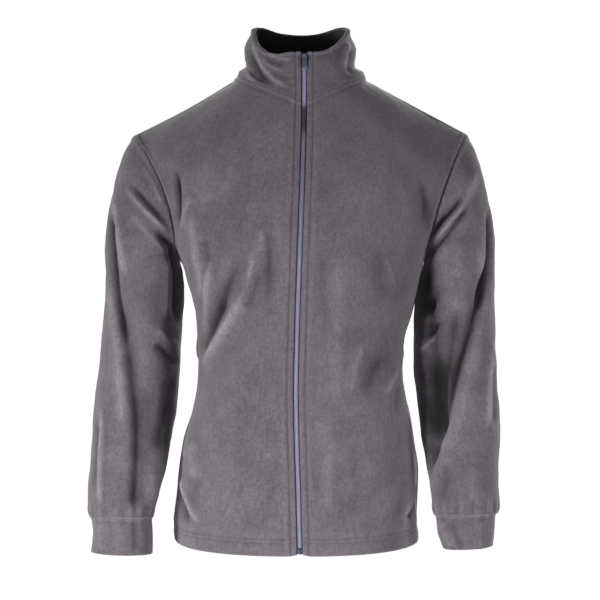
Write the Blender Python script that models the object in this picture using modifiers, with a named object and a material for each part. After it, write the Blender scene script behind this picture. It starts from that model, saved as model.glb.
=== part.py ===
"""Fleece zip jacket in its worn, hollow form, each cut and sewn piece as its own solid.

Metres, +Z up. The front faces -Y and the wearer's left side is +X. The origin is the middle of the neck
opening, at the height where the shoulder seams meet the collar: there a wearer's shoulders carry it.
Left and right in names are the wearer's. A side is -1 for right and +1 for left.
"""

import math

import bmesh
import bpy
import numpy as np
from mathutils import Matrix, Vector

MM = 0.001
RIGHT, LEFT = -1, 1
FRONT, BACK = -1, 1
SIDEWAYS = np.array([1.0, 0.0, 0.0])
UP = np.array([0.0, 0.0, 1.0])
BACKWARDS = np.array([0.0, 1.0, 0.0])

# Cloth and seams
FLEECE = 2.2 * MM
FACING_CLOTH = 1.2 * MM
TAPE_CLOTH = 0.8 * MM
SEAM_GAP = 0.3 * MM
SEAM_BAND = 2.5 * MM  # both pieces lie level this far from a seam
CORNER_PULL = 0.5 * MM  # where three pieces meet

# Mesh steps along each piece
SIDE_STEPS, ARMHOLE_STEPS, SHOULDER_STEPS = 15, 12, 5
FRONT_STEPS, HALF_BACK_STEPS = 13, 10
SLEEVE_STEPS = 20
RELAXING_ROUNDS, RELAXING_START = 10, 4  # rounds, and columns from the middle line to where they count fully
CUFF_RUNS = (0.0, 0.35, 0.7, 1.0)
ROW_SAMPLES, FOLD_SAMPLES = 120, 17
FOLD_END_HEIGHT, FOLD_END_RISE = 0.15, 5  # a fold's height at its ends, and how steeply it grows from there
FOLD_CLEARANCE = 1.5  # steps from a panel's edge to where its folds have their full height

# Torso
HEM_SIDE_HEIGHT, UNDERARM_HEIGHT = -0.687, -0.265
SIDE_SEAM_Y = 0.010
NECK_POINT_X, NECK_POINT_Y = 0.0965, 0.0

# Collar
NECK_FRONT_DEPTH, NECK_BACK_DEPTH = 0.090, 0.075
RIM_WIDTH_SHARE, RIM_DEPTH_SHARE = 0.755, 0.90  # the rim's plan against the neck seam's
RIM_SIDE_HEIGHT, RIM_FRONT_HEIGHT, RIM_BACK_HEIGHT = 0.0765, 0.0325, 0.0755
RIM_SLIMMING_POWER = 6  # how late the rim widens towards the zip
RIM_ROLL_RADIUS, RIM_FLAP = 2.6 * MM, 6.0 * MM
COLLAR_RISES = np.linspace(0, 1 - RIM_ROLL_RADIUS / RIM_SIDE_HEIGHT, 6)[1:]
FACING_START = 0.05  # share of the collar's height
FACING_OVER_TAPE = 2.2  # tape widths from the zip to where the facing has left the tape
FACING_SETBACK, FACING_SETBACK_AT_ZIP = 3.5 * MM, 4.0 * MM

# Zip. Its layers are measured outwards from the fleece's outer face.
ZIP_BOTTOM, ZIP_TOP = -0.694, 0.0295
COLLAR_ZIP_HEIGHTS = np.array([-0.030, -0.015, 0.0, 0.015, 0.0225, ZIP_TOP])
ZIP_HALF_GAP = 4.3 * MM
TAPE_LAYER = -2.7 * MM
TAPE_REACH, TAPE_END_REACH = 10.0 * MM, 3.4 * MM
CHAIN_LAYER, CHAIN_THICKNESS, CHAIN_WIDTH = -0.1 * MM, 2.1 * MM, 5.2 * MM
BOX_LENGTH, BOX_WIDTH, BOX_THICKNESS = 8.5 * MM, 6.6 * MM, 2.6 * MM
SLIDER_WIDTH, SLIDER_LENGTH, SLIDER_THICKNESS = 8.4 * MM, 9.4 * MM, 2.4 * MM
SLIDER_PLACE = 0.0245
SLIDER_BASE = 0.2 * MM
SLIDER_ROUNDING = 0.8 * MM
BAIL_RADIUS, BAIL_WIRE = 2.1 * MM, 0.55 * MM
BAIL_STAND = 1.5 * MM
PIVOT_LAYER = SLIDER_BASE + SLIDER_THICKNESS + BAIL_STAND
PIVOT_DROP = 0.5 * MM  # the tab's bar lies in the lower part of the bail
TAB_LENGTH, TAB_THICKNESS, TAB_EDGE = 19.5 * MM, 1.2 * MM, 0.15 * MM
TAB_TOP_WIDTH, TAB_END_WIDTH, TAB_CORNER = 5.4 * MM, 8.0 * MM, 1.4 * MM
TAB_CORNER_CUT = 0.3
TAB_BAR = 0.6 * MM  # half the height of the bar over the slot
TAB_SLOT_LENGTH, TAB_SLOT_WIDTH = 3.4 * MM, 2.4 * MM


def smooth(place, places, values):
    """Reads a curve through table rows that has no overshoot between them."""
    place = np.clip(place, places[0], places[-1])
    steps = np.diff(places)
    rises = np.diff(values) / steps
    slopes = np.empty(len(places))
    slopes[0], slopes[-1] = rises[0], rises[-1]
    same_way = rises[:-1] * rises[1:] > 0
    sums = np.where(same_way, rises[:-1] + rises[1:], 1)
    slopes[1:-1] = np.where(same_way, 2 * rises[:-1] * rises[1:] / sums, 0)
    row = np.clip(np.searchsorted(places, place, side="right") - 1, 0, len(steps) - 1)
    step, share = steps[row], (place - places[row]) / steps[row]
    return (
        values[row] * (1 + 2 * share) * (1 - share) ** 2
        + values[row + 1] * share**2 * (3 - 2 * share)
        + step * slopes[row] * share * (1 - share) ** 2
        - step * slopes[row + 1] * share**2 * (1 - share)
    )


class Table:
    """A short table with named columns, read as smooth curves along its first column."""

    def __init__(self, names, *rows):
        self.names = names.split()
        self.columns = np.array(rows, float).T

    def at(self, name, place):
        return smooth(np.asarray(place, float), self.columns[0], self.columns[self.names.index(name)])


# Half width of the body at its side seams.
SIDE_SEAM = Table(
    "height right left",
    (-0.687, 0.188, 0.178),
    (-0.660, 0.189, 0.175),
    (-0.620, 0.185, 0.177),
    (-0.585, 0.182, 0.178),
    (-0.540, 0.175, 0.171),
    (-0.500, 0.162, 0.165),
    (-0.465, 0.155, 0.156),
    (-0.420, 0.154, 0.152),
    (-0.375, 0.152, 0.158),
    (-0.330, 0.160, 0.173),
    (-0.300, 0.167, 0.179),
    (-0.280, 0.174, 0.182),
    (-0.265, 0.185, 0.188),
)
# How far the zip's line and the back's middle lie in front of and behind the origin.
BODY_DEPTH = Table(
    "height front back",
    (-0.700, 0.140, 0.132),
    (-0.620, 0.135, 0.130),
    (-0.550, 0.129, 0.121),
    (-0.460, 0.123, 0.108),
    (-0.380, 0.126, 0.111),
    (-0.300, 0.134, 0.125),
    (-0.240, 0.137, 0.133),
    (-0.180, 0.130, 0.134),
    (-0.120, 0.115, 0.124),
    (-0.080, 0.103, 0.112),
    (-0.045, 0.090, 0.098),
    (0.006, 0.086, 0.075),
    (0.035, 0.082, 0.070),
)
ZIP_LINE = Table(
    "height x",
    (-0.700, 0.0000),
    (-0.610, -0.0023),
    (-0.465, -0.0058),
    (-0.385, -0.0043),
    (-0.250, 0.0000),
    (-0.130, 0.0043),
    (-0.045, 0.0062),
    (0.040, 0.0066),
)
# Places along a panel's edge: 0 hem, 1 underarm, 2 shoulder point, 3 neck.
MIDDLE_HEIGHT = Table(
    "place front back",
    (0.0, -0.6975, -0.692),
    (1.0, -0.268, -0.262),
    (2.0, -0.134, -0.092),
    (3.0, -0.0450, 0.006),
)
# roundness 2 is an ellipse and more is squarer; sweep is how much of the quarter a row runs through;
# dip 0 spreads a row's rise evenly across and 1 keeps it for the side.
ROW_SHAPE = Table(
    "place front_roundness front_sweep back_roundness back_sweep dip",
    (0.0, 2.30, 90, 2.35, 90, 1.00),
    (0.6, 2.20, 90, 2.25, 90, 0.80),
    (1.0, 2.35, 90, 2.40, 90, 0.50),
    (1.5, 2.25, 60, 2.40, 64, 0.40),
    (2.0, 2.00, 64, 2.15, 68, 0.35),
    (2.6, 2.00, 80, 2.00, 80, 0.25),
    (3.0, 2.00, 90, 2.00, 90, 0.10),
)
SLEEVES = {
    RIGHT: Table(
        "run outer_x outer_z inner_x inner_z middle_y depth bow",
        (0.00, 0.2490, -0.082, 0.1850, -0.265, 0.010, 0.062, 0.018),
        (0.05, 0.2625, -0.102, 0.1880, -0.276, 0.010, 0.064, 0.013),
        (0.11, 0.2725, -0.132, 0.1865, -0.289, 0.011, 0.065, 0.007),
        (0.18, 0.2800, -0.168, 0.1825, -0.305, 0.013, 0.066, 0.003),
        (0.25, 0.2905, -0.208, 0.1770, -0.327, 0.016, 0.066, 0.000),
        (0.35, 0.2950, -0.262, 0.1765, -0.358, 0.019, 0.065, 0.000),
        (0.46, 0.2945, -0.325, 0.1790, -0.397, 0.018, 0.063, 0.000),
        (0.57, 0.2985, -0.392, 0.1815, -0.440, 0.010, 0.060, 0.000),
        (0.68, 0.3055, -0.462, 0.1845, -0.487, -0.003, 0.058, 0.000),
        (0.78, 0.3090, -0.520, 0.1905, -0.533, -0.020, 0.054, 0.000),
        (0.87, 0.3095, -0.572, 0.1985, -0.577, -0.038, 0.050, 0.000),
        (0.95, 0.3118, -0.615, 0.2085, -0.617, -0.054, 0.046, 0.000),
        (1.00, 0.3110, -0.638, 0.2130, -0.638, -0.062, 0.043, 0.000),
    ),
    LEFT: Table(
        "run outer_x outer_z inner_x inner_z middle_y depth bow",
        (0.00, 0.2490, -0.079, 0.1880, -0.265, 0.010, 0.062, 0.008),
        (0.05, 0.2610, -0.100, 0.1915, -0.276, 0.010, 0.064, 0.006),
        (0.11, 0.2710, -0.130, 0.1905, -0.289, 0.011, 0.065, 0.003),
        (0.18, 0.2795, -0.168, 0.1880, -0.306, 0.013, 0.066, 0.001),
        (0.25, 0.2890, -0.208, 0.1825, -0.330, 0.016, 0.066, 0.000),
        (0.35, 0.2950, -0.262, 0.1740, -0.362, 0.019, 0.065, 0.000),
        (0.46, 0.2925, -0.328, 0.1720, -0.400, 0.018, 0.063, 0.000),
        (0.57, 0.2945, -0.392, 0.1725, -0.440, 0.010, 0.060, 0.000),
        (0.68, 0.2968, -0.462, 0.1765, -0.487, -0.003, 0.058, 0.000),
        (0.78, 0.2967, -0.520, 0.1815, -0.533, -0.020, 0.054, 0.000),
        (0.87, 0.2950, -0.572, 0.1880, -0.577, -0.038, 0.050, 0.000),
        (0.95, 0.2935, -0.612, 0.1925, -0.613, -0.054, 0.046, 0.000),
        (1.00, 0.2925, -0.634, 0.1938, -0.634, -0.062, 0.043, 0.000),
    ),
}
CUFFS = {
    RIGHT: Table(
        "run outer_x outer_z inner_x inner_z middle_y depth",
        (0.0, 0.3050, -0.6480, 0.2175, -0.6480, -0.066, 0.0375),
        (0.4, 0.3032, -0.6690, 0.2165, -0.6690, -0.068, 0.0375),
        (1.0, 0.3065, -0.6990, 0.2155, -0.7010, -0.072, 0.0385),
    ),
    LEFT: Table(
        "run outer_x outer_z inner_x inner_z middle_y depth",
        (0.0, 0.2865, -0.6420, 0.1990, -0.6445, -0.066, 0.0375),
        (0.5, 0.2852, -0.6670, 0.2015, -0.6690, -0.069, 0.0370),
        (1.0, 0.2828, -0.6895, 0.2095, -0.6930, -0.072, 0.0355),
    ),
}
# How far a collar wall has leaned from the neck seam's plan to the rim's.
COLLAR_LEAN = Table("rise share", (0.0, 0.0), (0.2, 0.15), (0.4, 0.42), (0.6, 0.52), (0.8, 0.70), (1.0, 1.0))
# How far the front rim has fallen from its height over the shoulder to its height at the zip.
RIM_FALL = Table(
    "depth_share right left",
    (0.00, 0.00, 0.00),
    (0.20, 0.25, 0.12),
    (0.40, 0.60, 0.32),
    (0.62, 0.82, 0.55),
    (0.80, 1.02, 0.75),
    (0.93, 1.09, 0.94),
    (1.00, 1.00, 1.00),
)

# The largest folds. Each runs through three (x, z) points as the piece is seen from the front or the back.
# Height is how far it stands out, or lies in if negative, and width is to where it has mostly died away.
# The columns are start, middle, end, height and width.
FRONT_FOLDS = {
    RIGHT: (
        ((-0.062, -0.262), (-0.090, -0.335), (-0.147, -0.428), 6.0 * MM, 14 * MM),
        ((-0.112, -0.292), (-0.127, -0.355), (-0.148, -0.420), -5.5 * MM, 12 * MM),
        ((-0.130, -0.255), (-0.139, -0.330), (-0.150, -0.400), 4.0 * MM, 11 * MM),
        ((-0.176, -0.570), (-0.168, -0.612), (-0.140, -0.656), 3.5 * MM, 12 * MM),
        ((-0.047, -0.235), (-0.045, -0.275), (-0.049, -0.325), -2.0 * MM, 14 * MM),
    ),
    LEFT: (
        ((0.176, -0.275), (0.150, -0.360), (0.110, -0.440), -2.5 * MM, 18 * MM),
        ((0.090, -0.390), (0.112, -0.425), (0.150, -0.455), 2.0 * MM, 14 * MM),
        ((0.172, -0.610), (0.160, -0.640), (0.120, -0.665), 2.5 * MM, 13 * MM),
    ),
}
BACK_FOLDS = (
    ((-0.150, -0.260), (-0.115, -0.350), (-0.060, -0.430), 4.0 * MM, 17 * MM),
    ((-0.110, -0.300), (-0.080, -0.370), (-0.030, -0.440), -3.5 * MM, 14 * MM),
    ((0.155, -0.255), (0.110, -0.340), (0.070, -0.440), 4.5 * MM, 17 * MM),
    ((0.020, -0.330), (0.012, -0.440), (0.020, -0.560), -3.5 * MM, 20 * MM),
    ((0.075, -0.420), (0.095, -0.500), (0.105, -0.590), 3.0 * MM, 18 * MM),
    ((-0.090, -0.470), (-0.110, -0.540), (-0.118, -0.610), 3.0 * MM, 18 * MM),
)
SLEEVE_FOLDS = {
    (RIGHT, FRONT): (
        ((-0.285, -0.205), (-0.262, -0.370), (-0.241, -0.600), -4.0 * MM, 14 * MM),
        ((-0.280, -0.150), (-0.276, -0.220), (-0.266, -0.290), 3.0 * MM, 12 * MM),
        ((-0.262, -0.150), (-0.238, -0.188), (-0.197, -0.226), 4.0 * MM, 13 * MM),
        ((-0.232, -0.216), (-0.208, -0.240), (-0.184, -0.262), -4.0 * MM, 11 * MM),
        ((-0.292, -0.420), (-0.290, -0.520), (-0.286, -0.630), 3.0 * MM, 10 * MM),
    ),
    (LEFT, FRONT): (
        ((0.272, -0.128), (0.243, -0.196), (0.186, -0.262), 4.0 * MM, 14 * MM),
        ((0.286, -0.200), (0.262, -0.345), (0.198, -0.510), -4.5 * MM, 14 * MM),
        ((0.284, -0.330), (0.244, -0.440), (0.206, -0.560), 3.5 * MM, 14 * MM),
        ((0.196, -0.300), (0.190, -0.345), (0.200, -0.390), -3.0 * MM, 12 * MM),
    ),
    (RIGHT, BACK): (
        ((-0.265, -0.140), (-0.235, -0.200), (-0.195, -0.250), 4.0 * MM, 14 * MM),
        ((-0.285, -0.250), (-0.245, -0.330), (-0.200, -0.370), -3.5 * MM, 15 * MM),
        ((-0.205, -0.330), (-0.240, -0.380), (-0.285, -0.400), -3.0 * MM, 14 * MM),
        ((-0.220, -0.430), (-0.245, -0.520), (-0.250, -0.610), 3.0 * MM, 14 * MM),
    ),
    (LEFT, BACK): (
        ((0.268, -0.150), (0.240, -0.205), (0.200, -0.245), 3.5 * MM, 14 * MM),
        ((0.205, -0.290), (0.240, -0.350), (0.285, -0.385), -3.5 * MM, 15 * MM),
        ((0.215, -0.410), (0.235, -0.500), (0.228, -0.600), 3.5 * MM, 15 * MM),
    ),
}
COLLAR_FOLDS = (
    ((-0.071, 0.060), (-0.061, 0.030), (-0.028, 0.002), 2.2 * MM, 8 * MM),
    ((0.069, 0.058), (0.068, 0.035), (0.058, 0.012), 2.0 * MM, 8 * MM),
)

SURFACES = {  # base colour, roughness, metallic
    "grey fleece": ((0.150, 0.134, 0.152, 1.0), 0.95, 0.0),
    "dark facing": ((0.012, 0.012, 0.013, 1.0), 0.90, 0.0),
    "zip tape": ((0.060, 0.060, 0.085, 1.0), 0.80, 0.0),
    "zip coil": ((0.165, 0.160, 0.215, 1.0), 0.45, 0.0),
    "grey metal": ((0.080, 0.088, 0.120, 1.0), 0.40, 0.8),
}


# Curves and grids. A grid is an array of rows of points; its rows run upwards on panels.


def unit(vectors):
    return vectors / np.maximum(np.linalg.norm(vectors, axis=-1, keepdims=True), 1e-12)


def across_seam(direction, along):
    """The direction made square to the seam's own direction."""
    along = unit(along)
    return unit(direction - (direction * along).sum(axis=-1, keepdims=True) * along)


def evenly_spaced(path, steps):
    lengths = np.concatenate([[0], np.cumsum(np.linalg.norm(np.diff(path, axis=0), axis=1))])
    wanted = np.linspace(0, lengths[-1], steps + 1)
    return np.stack([np.interp(wanted, lengths, path[:, axis]) for axis in range(3)], axis=1)


def side_name(side):
    return "right" if side == RIGHT else "left"


def grid_normals(grid, closed):
    if closed:
        along_row = np.roll(grid, -1, axis=1) - np.roll(grid, 1, axis=1)
    else:
        along_row = np.gradient(grid, axis=1)
    return unit(np.cross(along_row, np.gradient(grid, axis=0)))


def faces_out(grid, closed):
    """Whether a grid's own normals point away from what it goes round: the body's middle line or its own."""
    middle = grid.mean(axis=1, keepdims=True) if closed else grid[:, :1] * [0, 0, 1]
    return ((grid - middle) * grid_normals(grid, closed)).sum() > 0


def outward_normals(grid, closed=False):
    return grid_normals(grid, closed) * (1 if faces_out(grid, closed) else -1)


# Torso


def row_places():
    side = np.linspace(0, 1, SIDE_STEPS, endpoint=False)
    armhole = np.linspace(1, 2, ARMHOLE_STEPS, endpoint=False)
    shoulder = np.linspace(2, 3, SHOULDER_STEPS + 1)
    return np.concatenate([side, armhole, shoulder])


def tube_ring(table, run, side, turns):
    """A ring of a sleeve or cuff: turn 0 is at the inner edge, and it goes round by the front."""
    outer_x, outer_z, inner_x, inner_z = (
        float(table.at(name, run)) for name in ("outer_x", "outer_z", "inner_x", "inner_z")
    )
    bow = float(table.at("bow", run)) if "bow" in table.names else 0.0
    x = (outer_x + inner_x) / 2 - (outer_x - inner_x) / 2 * np.cos(turns) - bow * np.sin(turns) ** 2
    z = (outer_z + inner_z) / 2 - (outer_z - inner_z) / 2 * np.cos(turns)
    y = float(table.at("middle_y", run)) - float(table.at("depth", run)) * np.sin(turns)
    return np.stack([side * x, y, z], axis=1)


def edge_points(side, facing, places):
    """Where each row of a front or a half back ends: on the side seam, the armhole or the shoulder seam."""
    heights = HEM_SIDE_HEIGHT + (UNDERARM_HEIGHT - HEM_SIDE_HEIGHT) * places
    half_widths = SIDE_SEAM.at(side_name(side), heights)
    seam = np.stack([side * half_widths, np.full(len(places), SIDE_SEAM_Y), heights], axis=1)
    turns = -facing * math.pi * np.clip(places - 1, 0, 1)
    armhole = tube_ring(SLEEVES[side], 0.0, side, turns)
    shoulder_point = tube_ring(SLEEVES[side], 0.0, side, np.array([math.pi]))
    neck_point = np.array([side * NECK_POINT_X, NECK_POINT_Y, 0.0])
    shoulder = shoulder_point + (neck_point - shoulder_point) * (places[:, None] - 2)
    seam[places >= 1] = armhole[places >= 1]
    seam[places >= 2] = shoulder[places >= 2]
    return seam


def row_curve(start, end, roundness, sweep, dip, steps):
    """A row across a panel: part of a superellipse from start, where it runs straight across, to end."""
    turn = np.linspace(0, math.radians(min(sweep, 90)), ROW_SAMPLES)
    sine, cosine = np.sin(turn), np.maximum(np.cos(turn), 0)
    reach = (cosine**roundness + sine**roundness) ** (-1 / roundness)
    across = reach * sine / (reach[-1] * sine[-1])
    inwards = (1 - reach * cosine) / (1 - reach[-1] * cosine[-1])
    shares = np.stack([across, inwards, (1 - dip) * across + dip * inwards], axis=1)
    return evenly_spaced(start + (end - start) * shares, steps)


def relaxed(grid):
    """Eases each row of a panel towards its neighbours, as cloth takes up a change; its edges stay."""
    eased = grid.copy()
    for _ in range(RELAXING_ROUNDS):
        eased[1:-1, 1:-1] = eased[1:-1, 1:-1] / 2 + (eased[:-2, 1:-1] + eased[2:, 1:-1]) / 4
    from_middle = np.clip(np.arange(grid.shape[1]) / RELAXING_START, 0, 1)
    return grid + (eased - grid) * from_middle[:, None]


def panel_grid(side, facing):
    """A front, or half of the back, from its middle line out to its edge."""
    name, steps = ("front", FRONT_STEPS) if facing == FRONT else ("back", HALF_BACK_STEPS)
    places = row_places()
    heights = MIDDLE_HEIGHT.at(name, places)
    if facing == FRONT:
        middle_x = ZIP_LINE.at("x", heights) + side * ZIP_HALF_GAP
    else:
        middle_x = np.zeros(len(places))
    starts = np.stack([middle_x, facing * BODY_DEPTH.at(name, heights), heights], axis=1)
    ends = edge_points(side, facing, places)
    shape = [ROW_SHAPE.at(column, places) for column in (name + "_roundness", name + "_sweep", "dip")]
    rows = [row_curve(*row, steps) for row in zip(starts, ends, *shape)]
    return relaxed(np.array(rows))


# Folds


def fold_heights(points, folds):
    """How far folds move points, from each point's distance to every fold's bent middle line."""
    seen = points.reshape(-1, 3)[:, [0, 2]]
    total = np.zeros(len(seen))
    share = np.linspace(0, 1, FOLD_SAMPLES)[:, None]
    for start, middle, end, height, width in folds:
        bend = 2 * np.array(middle) - (np.array(start) + np.array(end)) / 2
        line = (1 - share) ** 2 * start + 2 * share * (1 - share) * bend + share**2 * end
        runs = np.diff(line, axis=0)
        from_start = seen[:, None] - line[None, :-1]
        along = np.clip((from_start * runs).sum(-1) / (runs**2).sum(-1), 0, 1)
        gaps = np.linalg.norm(from_start - along[..., None] * runs, axis=-1)
        nearest = gaps.argmin(axis=1)
        rows = np.arange(len(seen))
        place = (nearest + along[rows, nearest]) / len(runs)
        taper = np.clip(np.minimum(place, 1 - place) * FOLD_END_RISE + FOLD_END_HEIGHT, 0, 1)
        total += height * taper * np.exp(-((gaps[rows, nearest] / width) ** 2))
    return total.reshape(points.shape[:-1])


def folded(grid, folds, facing, closed=False):
    """Moves a grid's points out or in at its folds, on its front or its back face."""
    normals = outward_normals(grid, closed)
    on_face = np.clip(2 * facing * normals[..., 1], 0, 1)
    return grid + (fold_heights(grid, folds) * on_face)[..., None] * normals


def folded_panel(grid, folds, facing):
    """The same for a panel, whose seams stay where they are."""
    rows, columns = grid.shape[:2]
    from_edge = np.clip(np.minimum(np.arange(columns), np.arange(columns)[::-1]) / FOLD_CLEARANCE, 0, 1)
    from_top = np.clip(np.arange(rows)[::-1] / FOLD_CLEARANCE, 0, 1)
    share = (from_top[:, None] * from_edge)[..., None]
    return grid + (folded(grid, folds, facing) - grid) * share


# Seams. Every piece has the same points as its neighbour along a seam, half a gap away on each side.


def armhole_outward(side):
    """The direction from the body into the sleeve, square to the armhole."""
    top, bottom = edge_points(side, FRONT, np.array([2.0, 1.0]))
    return -side * unit(np.cross(top - bottom, BACKWARDS))


def edge_across(side, facing, places):
    """Into the panel from each point of its side seam, armhole and shoulder seam."""
    inwards = np.tile(facing * BACKWARDS, (len(places), 1))
    inwards[(places > 1) & (places < 2)] = -armhole_outward(side)
    return across_seam(inwards, np.gradient(edge_points(side, facing, places), axis=0))


def at_corners(places):
    return (places == 1) | (places == 2)


def with_edge_band(grid, across):
    """Adds the level band beside a panel's edge seam."""
    band = grid[:, -1] + SEAM_BAND * across
    return np.insert(grid, -1, band, axis=1)


def finished_panel(banded, side, across, down):
    """Adds the level band under the neck seam and pulls the panel half a gap back from its seams."""
    corners = at_corners(row_places())[:, None]
    pull = np.where(corners, CORNER_PULL * (across - armhole_outward(side)), SEAM_GAP / 2 * across)
    panel = banded.copy()
    panel[:, -1] += pull
    band = panel[-1] + SEAM_BAND * down
    panel[-1] += SEAM_GAP / 2 * down
    return np.insert(panel, -1, band, axis=0)


# The order in which quarters of the body lie round the neck, and whether each runs backwards there.
RING_ORDER = (((RIGHT, FRONT), 1), ((RIGHT, BACK), -1), ((LEFT, BACK), 1), ((LEFT, FRONT), -1))


def neck_ring(quarters, row):
    """One row of all four quarters as a line round the neck from zip to zip, their shared points once."""
    lines = [quarters[key][row][::way] for key, way in RING_ORDER]
    return np.concatenate([lines[0]] + [line[1:] for line in lines[1:]])


def quarter_shares(ring, quarters):
    """Each quarter's own part of what lies along the neck ring."""
    shares, start = {}, 0
    for key, way in RING_ORDER:
        count = quarters[key].shape[1]
        shares[key] = ring[start : start + count][::way]
        start += count - 1
    return shares


def neck_across(neck_line, below, above):
    """Down from the neck seam, halfway between how the panels and the collar leave it."""
    along = np.gradient(neck_line, axis=0)
    return across_seam(unit(below - neck_line) - unit(above - neck_line), along)


# Collar


def rim_points(neck_line):
    """The collar's rim over each point of the neck seam."""
    x, y = neck_line[:, 0], neck_line[:, 1]
    share = np.clip(np.abs(y) / np.where(y < 0, NECK_FRONT_DEPTH, NECK_BACK_DEPTH), 0, 1)
    slimming = RIM_WIDTH_SHARE + (1 - RIM_WIDTH_SHARE) * np.where(y < 0, share**RIM_SLIMMING_POWER, 0)
    front_fall = np.where(x < 0, RIM_FALL.at("right", share), RIM_FALL.at("left", share))
    middle = np.where(y < 0, RIM_FRONT_HEIGHT, RIM_BACK_HEIGHT)
    height = RIM_SIDE_HEIGHT + (middle - RIM_SIDE_HEIGHT) * np.where(y < 0, front_fall, share)
    return np.stack([x * slimming, y * RIM_DEPTH_SHARE, height], axis=1)


def collar_wall(neck_line, rise):
    """The collar's outer face at a share of its height, or at one share for each of its points."""
    lean = COLLAR_LEAN.at("share", rise) * np.ones(len(neck_line))
    shares = np.stack([lean, lean, rise * np.ones(len(neck_line))], axis=1)
    return neck_line + (rim_points(neck_line) - neck_line) * shares


def plan_outwards(neck_line):
    along = np.gradient(rim_points(neck_line), axis=0) * [1, 1, 0]
    outwards = unit(np.cross(along, UP))
    return outwards * np.sign((outwards * neck_line).sum())


def collar_grid(neck_line, across):
    """The stand collar from the neck seam up, over its rim and a little way down inside."""
    rows = [neck_line - SEAM_GAP / 2 * across, neck_line - SEAM_BAND * across]
    rows += [collar_wall(neck_line, rise) for rise in COLLAR_RISES]
    outwards = plan_outwards(neck_line)
    centre = rows[-1] - RIM_ROLL_RADIUS * outwards
    for angle in np.radians((45, 90, 135, 180)):
        rows.append(centre + RIM_ROLL_RADIUS * (math.cos(angle) * outwards + math.sin(angle) * UP))
    rows.append(rows[-1] - RIM_FLAP * UP)
    return folded(np.array(rows), COLLAR_FOLDS, FRONT)


def facing_grid(neck_line, flap_end):
    """The facing inside the collar, from just over the neck seam to just under the rim's turned flap."""
    rim_height = rim_points(neck_line)[:, 2]
    top_rise = (flap_end[:, 2] - SEAM_GAP - neck_line[:, 2]) / (rim_height - neck_line[:, 2])
    from_zip = np.abs(neck_line[:, 0] - ZIP_LINE.at("x", 0.0)) / TAPE_REACH
    over_tape = np.where(neck_line[:, 1] < 0, np.clip(FACING_OVER_TAPE - from_zip, 0, 1), 0)
    setback = FACING_SETBACK + (FACING_SETBACK_AT_ZIP - FACING_SETBACK) * over_tape
    rises = [FACING_START + (top_rise - FACING_START) * share for share in np.linspace(0, 1, 4)]
    walls = folded(np.array([collar_wall(neck_line, rise) for rise in rises]), COLLAR_FOLDS, FRONT)
    return walls - setback[:, None] * outward_normals(walls)


# Sleeves and cuffs


def ring_turns():
    return np.linspace(0, 2 * math.pi, 2 * ARMHOLE_STEPS, endpoint=False)


def sleeve_grid(side):
    """The sleeve from its armhole seam down to its cuff seam."""
    turns = ring_turns()
    armhole = tube_ring(SLEEVES[side], 0.0, side, turns)
    along = np.roll(armhole, -1, axis=0) - np.roll(armhole, 1, axis=0)
    across = across_seam(armhole_outward(side), along)
    runs = np.linspace(0, 1, SLEEVE_STEPS + 1)[1:]
    body = np.array([tube_ring(SLEEVES[side], run, side, turns) for run in runs])
    for facing in (FRONT, BACK):
        body = folded(body, SLEEVE_FOLDS[side, facing], facing, closed=True)
    cuff_top = tube_ring(CUFFS[side], 0.0, side, turns)
    start = [armhole + SEAM_GAP / 2 * across, armhole + SEAM_BAND * across]
    end = [cuff_top + SEAM_BAND * UP, cuff_top + SEAM_GAP / 2 * UP]
    return np.concatenate([start, body, end])


def cuff_grid(side):
    top, *rings = [tube_ring(CUFFS[side], run, side, ring_turns()) for run in CUFF_RUNS]
    return np.array([top - SEAM_GAP / 2 * UP, top - SEAM_BAND * UP, *rings])


# Zip


def zip_face(collar):
    """The zip's middle line on the fleece's outer face, from the hem up the collar."""
    body_heights = MIDDLE_HEIGHT.at("front", row_places())
    body_heights[0] = ZIP_BOTTOM
    heights = np.concatenate([body_heights, COLLAR_ZIP_HEIGHTS])
    body_y = -BODY_DEPTH.at("front", body_heights)
    collar_front = collar[1 : len(COLLAR_RISES) + 2, 0]
    collar_y = np.interp(COLLAR_ZIP_HEIGHTS, collar_front[:, 2], collar_front[:, 1])
    return np.stack([ZIP_LINE.at("x", heights), np.concatenate([body_y, collar_y]), heights], axis=1)


def strip_grid(face, left_edge, right_edge, layer):
    """A strip along the zip between two distances from its middle, moved outwards from the fleece's face."""
    outwards = unit(np.cross(np.gradient(face, axis=0), SIDEWAYS))
    outwards = outwards * -np.sign(outwards[:, 1:2])
    middle = face + layer * outwards
    edges = [middle + np.reshape(edge, (-1, 1)) * SIDEWAYS for edge in (left_edge, right_edge)]
    return np.stack(edges, axis=1)


def stretch(face, bottom, top):
    """The part of the zip's line between two heights."""
    inside = face[(face[:, 2] > bottom + MM) & (face[:, 2] < top - MM), 2]
    heights = np.concatenate([[bottom], inside, [top]])
    return np.stack([np.interp(heights, face[:, 2], face[:, axis]) for axis in range(3)], axis=1)


def place_on_zip(face, height, length):
    """The frame of a piece on the zip: X across it, -Y outwards and Z up along it."""
    below, above = stretch(face, height - length / 2, height + length / 2)[[0, -1]]
    up = unit(above - below)
    across = unit(SIDEWAYS - SIDEWAYS.dot(up) * up)
    frame = Matrix(np.stack([across, np.cross(up, across), up], axis=1)).to_4x4()
    frame.translation = Vector((above + below) / 2)
    return frame


# Blender objects


def surface_material(name):
    material = bpy.data.materials.get(name)
    if material is None:
        material = bpy.data.materials.new(name)
        material.use_nodes = True
        shader = material.node_tree.nodes["Principled BSDF"]
        colour, roughness, metallic = SURFACES[name]
        shader.inputs["Base Color"].default_value = colour
        shader.inputs["Roughness"].default_value = roughness
        shader.inputs["Metallic"].default_value = metallic
        material.diffuse_color = colour
    return material


def add_object(collection, name, shape, surface):
    part = bpy.data.objects.new(name, shape)
    shape.materials.append(surface_material(surface))
    collection.objects.link(part)
    return part


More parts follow.
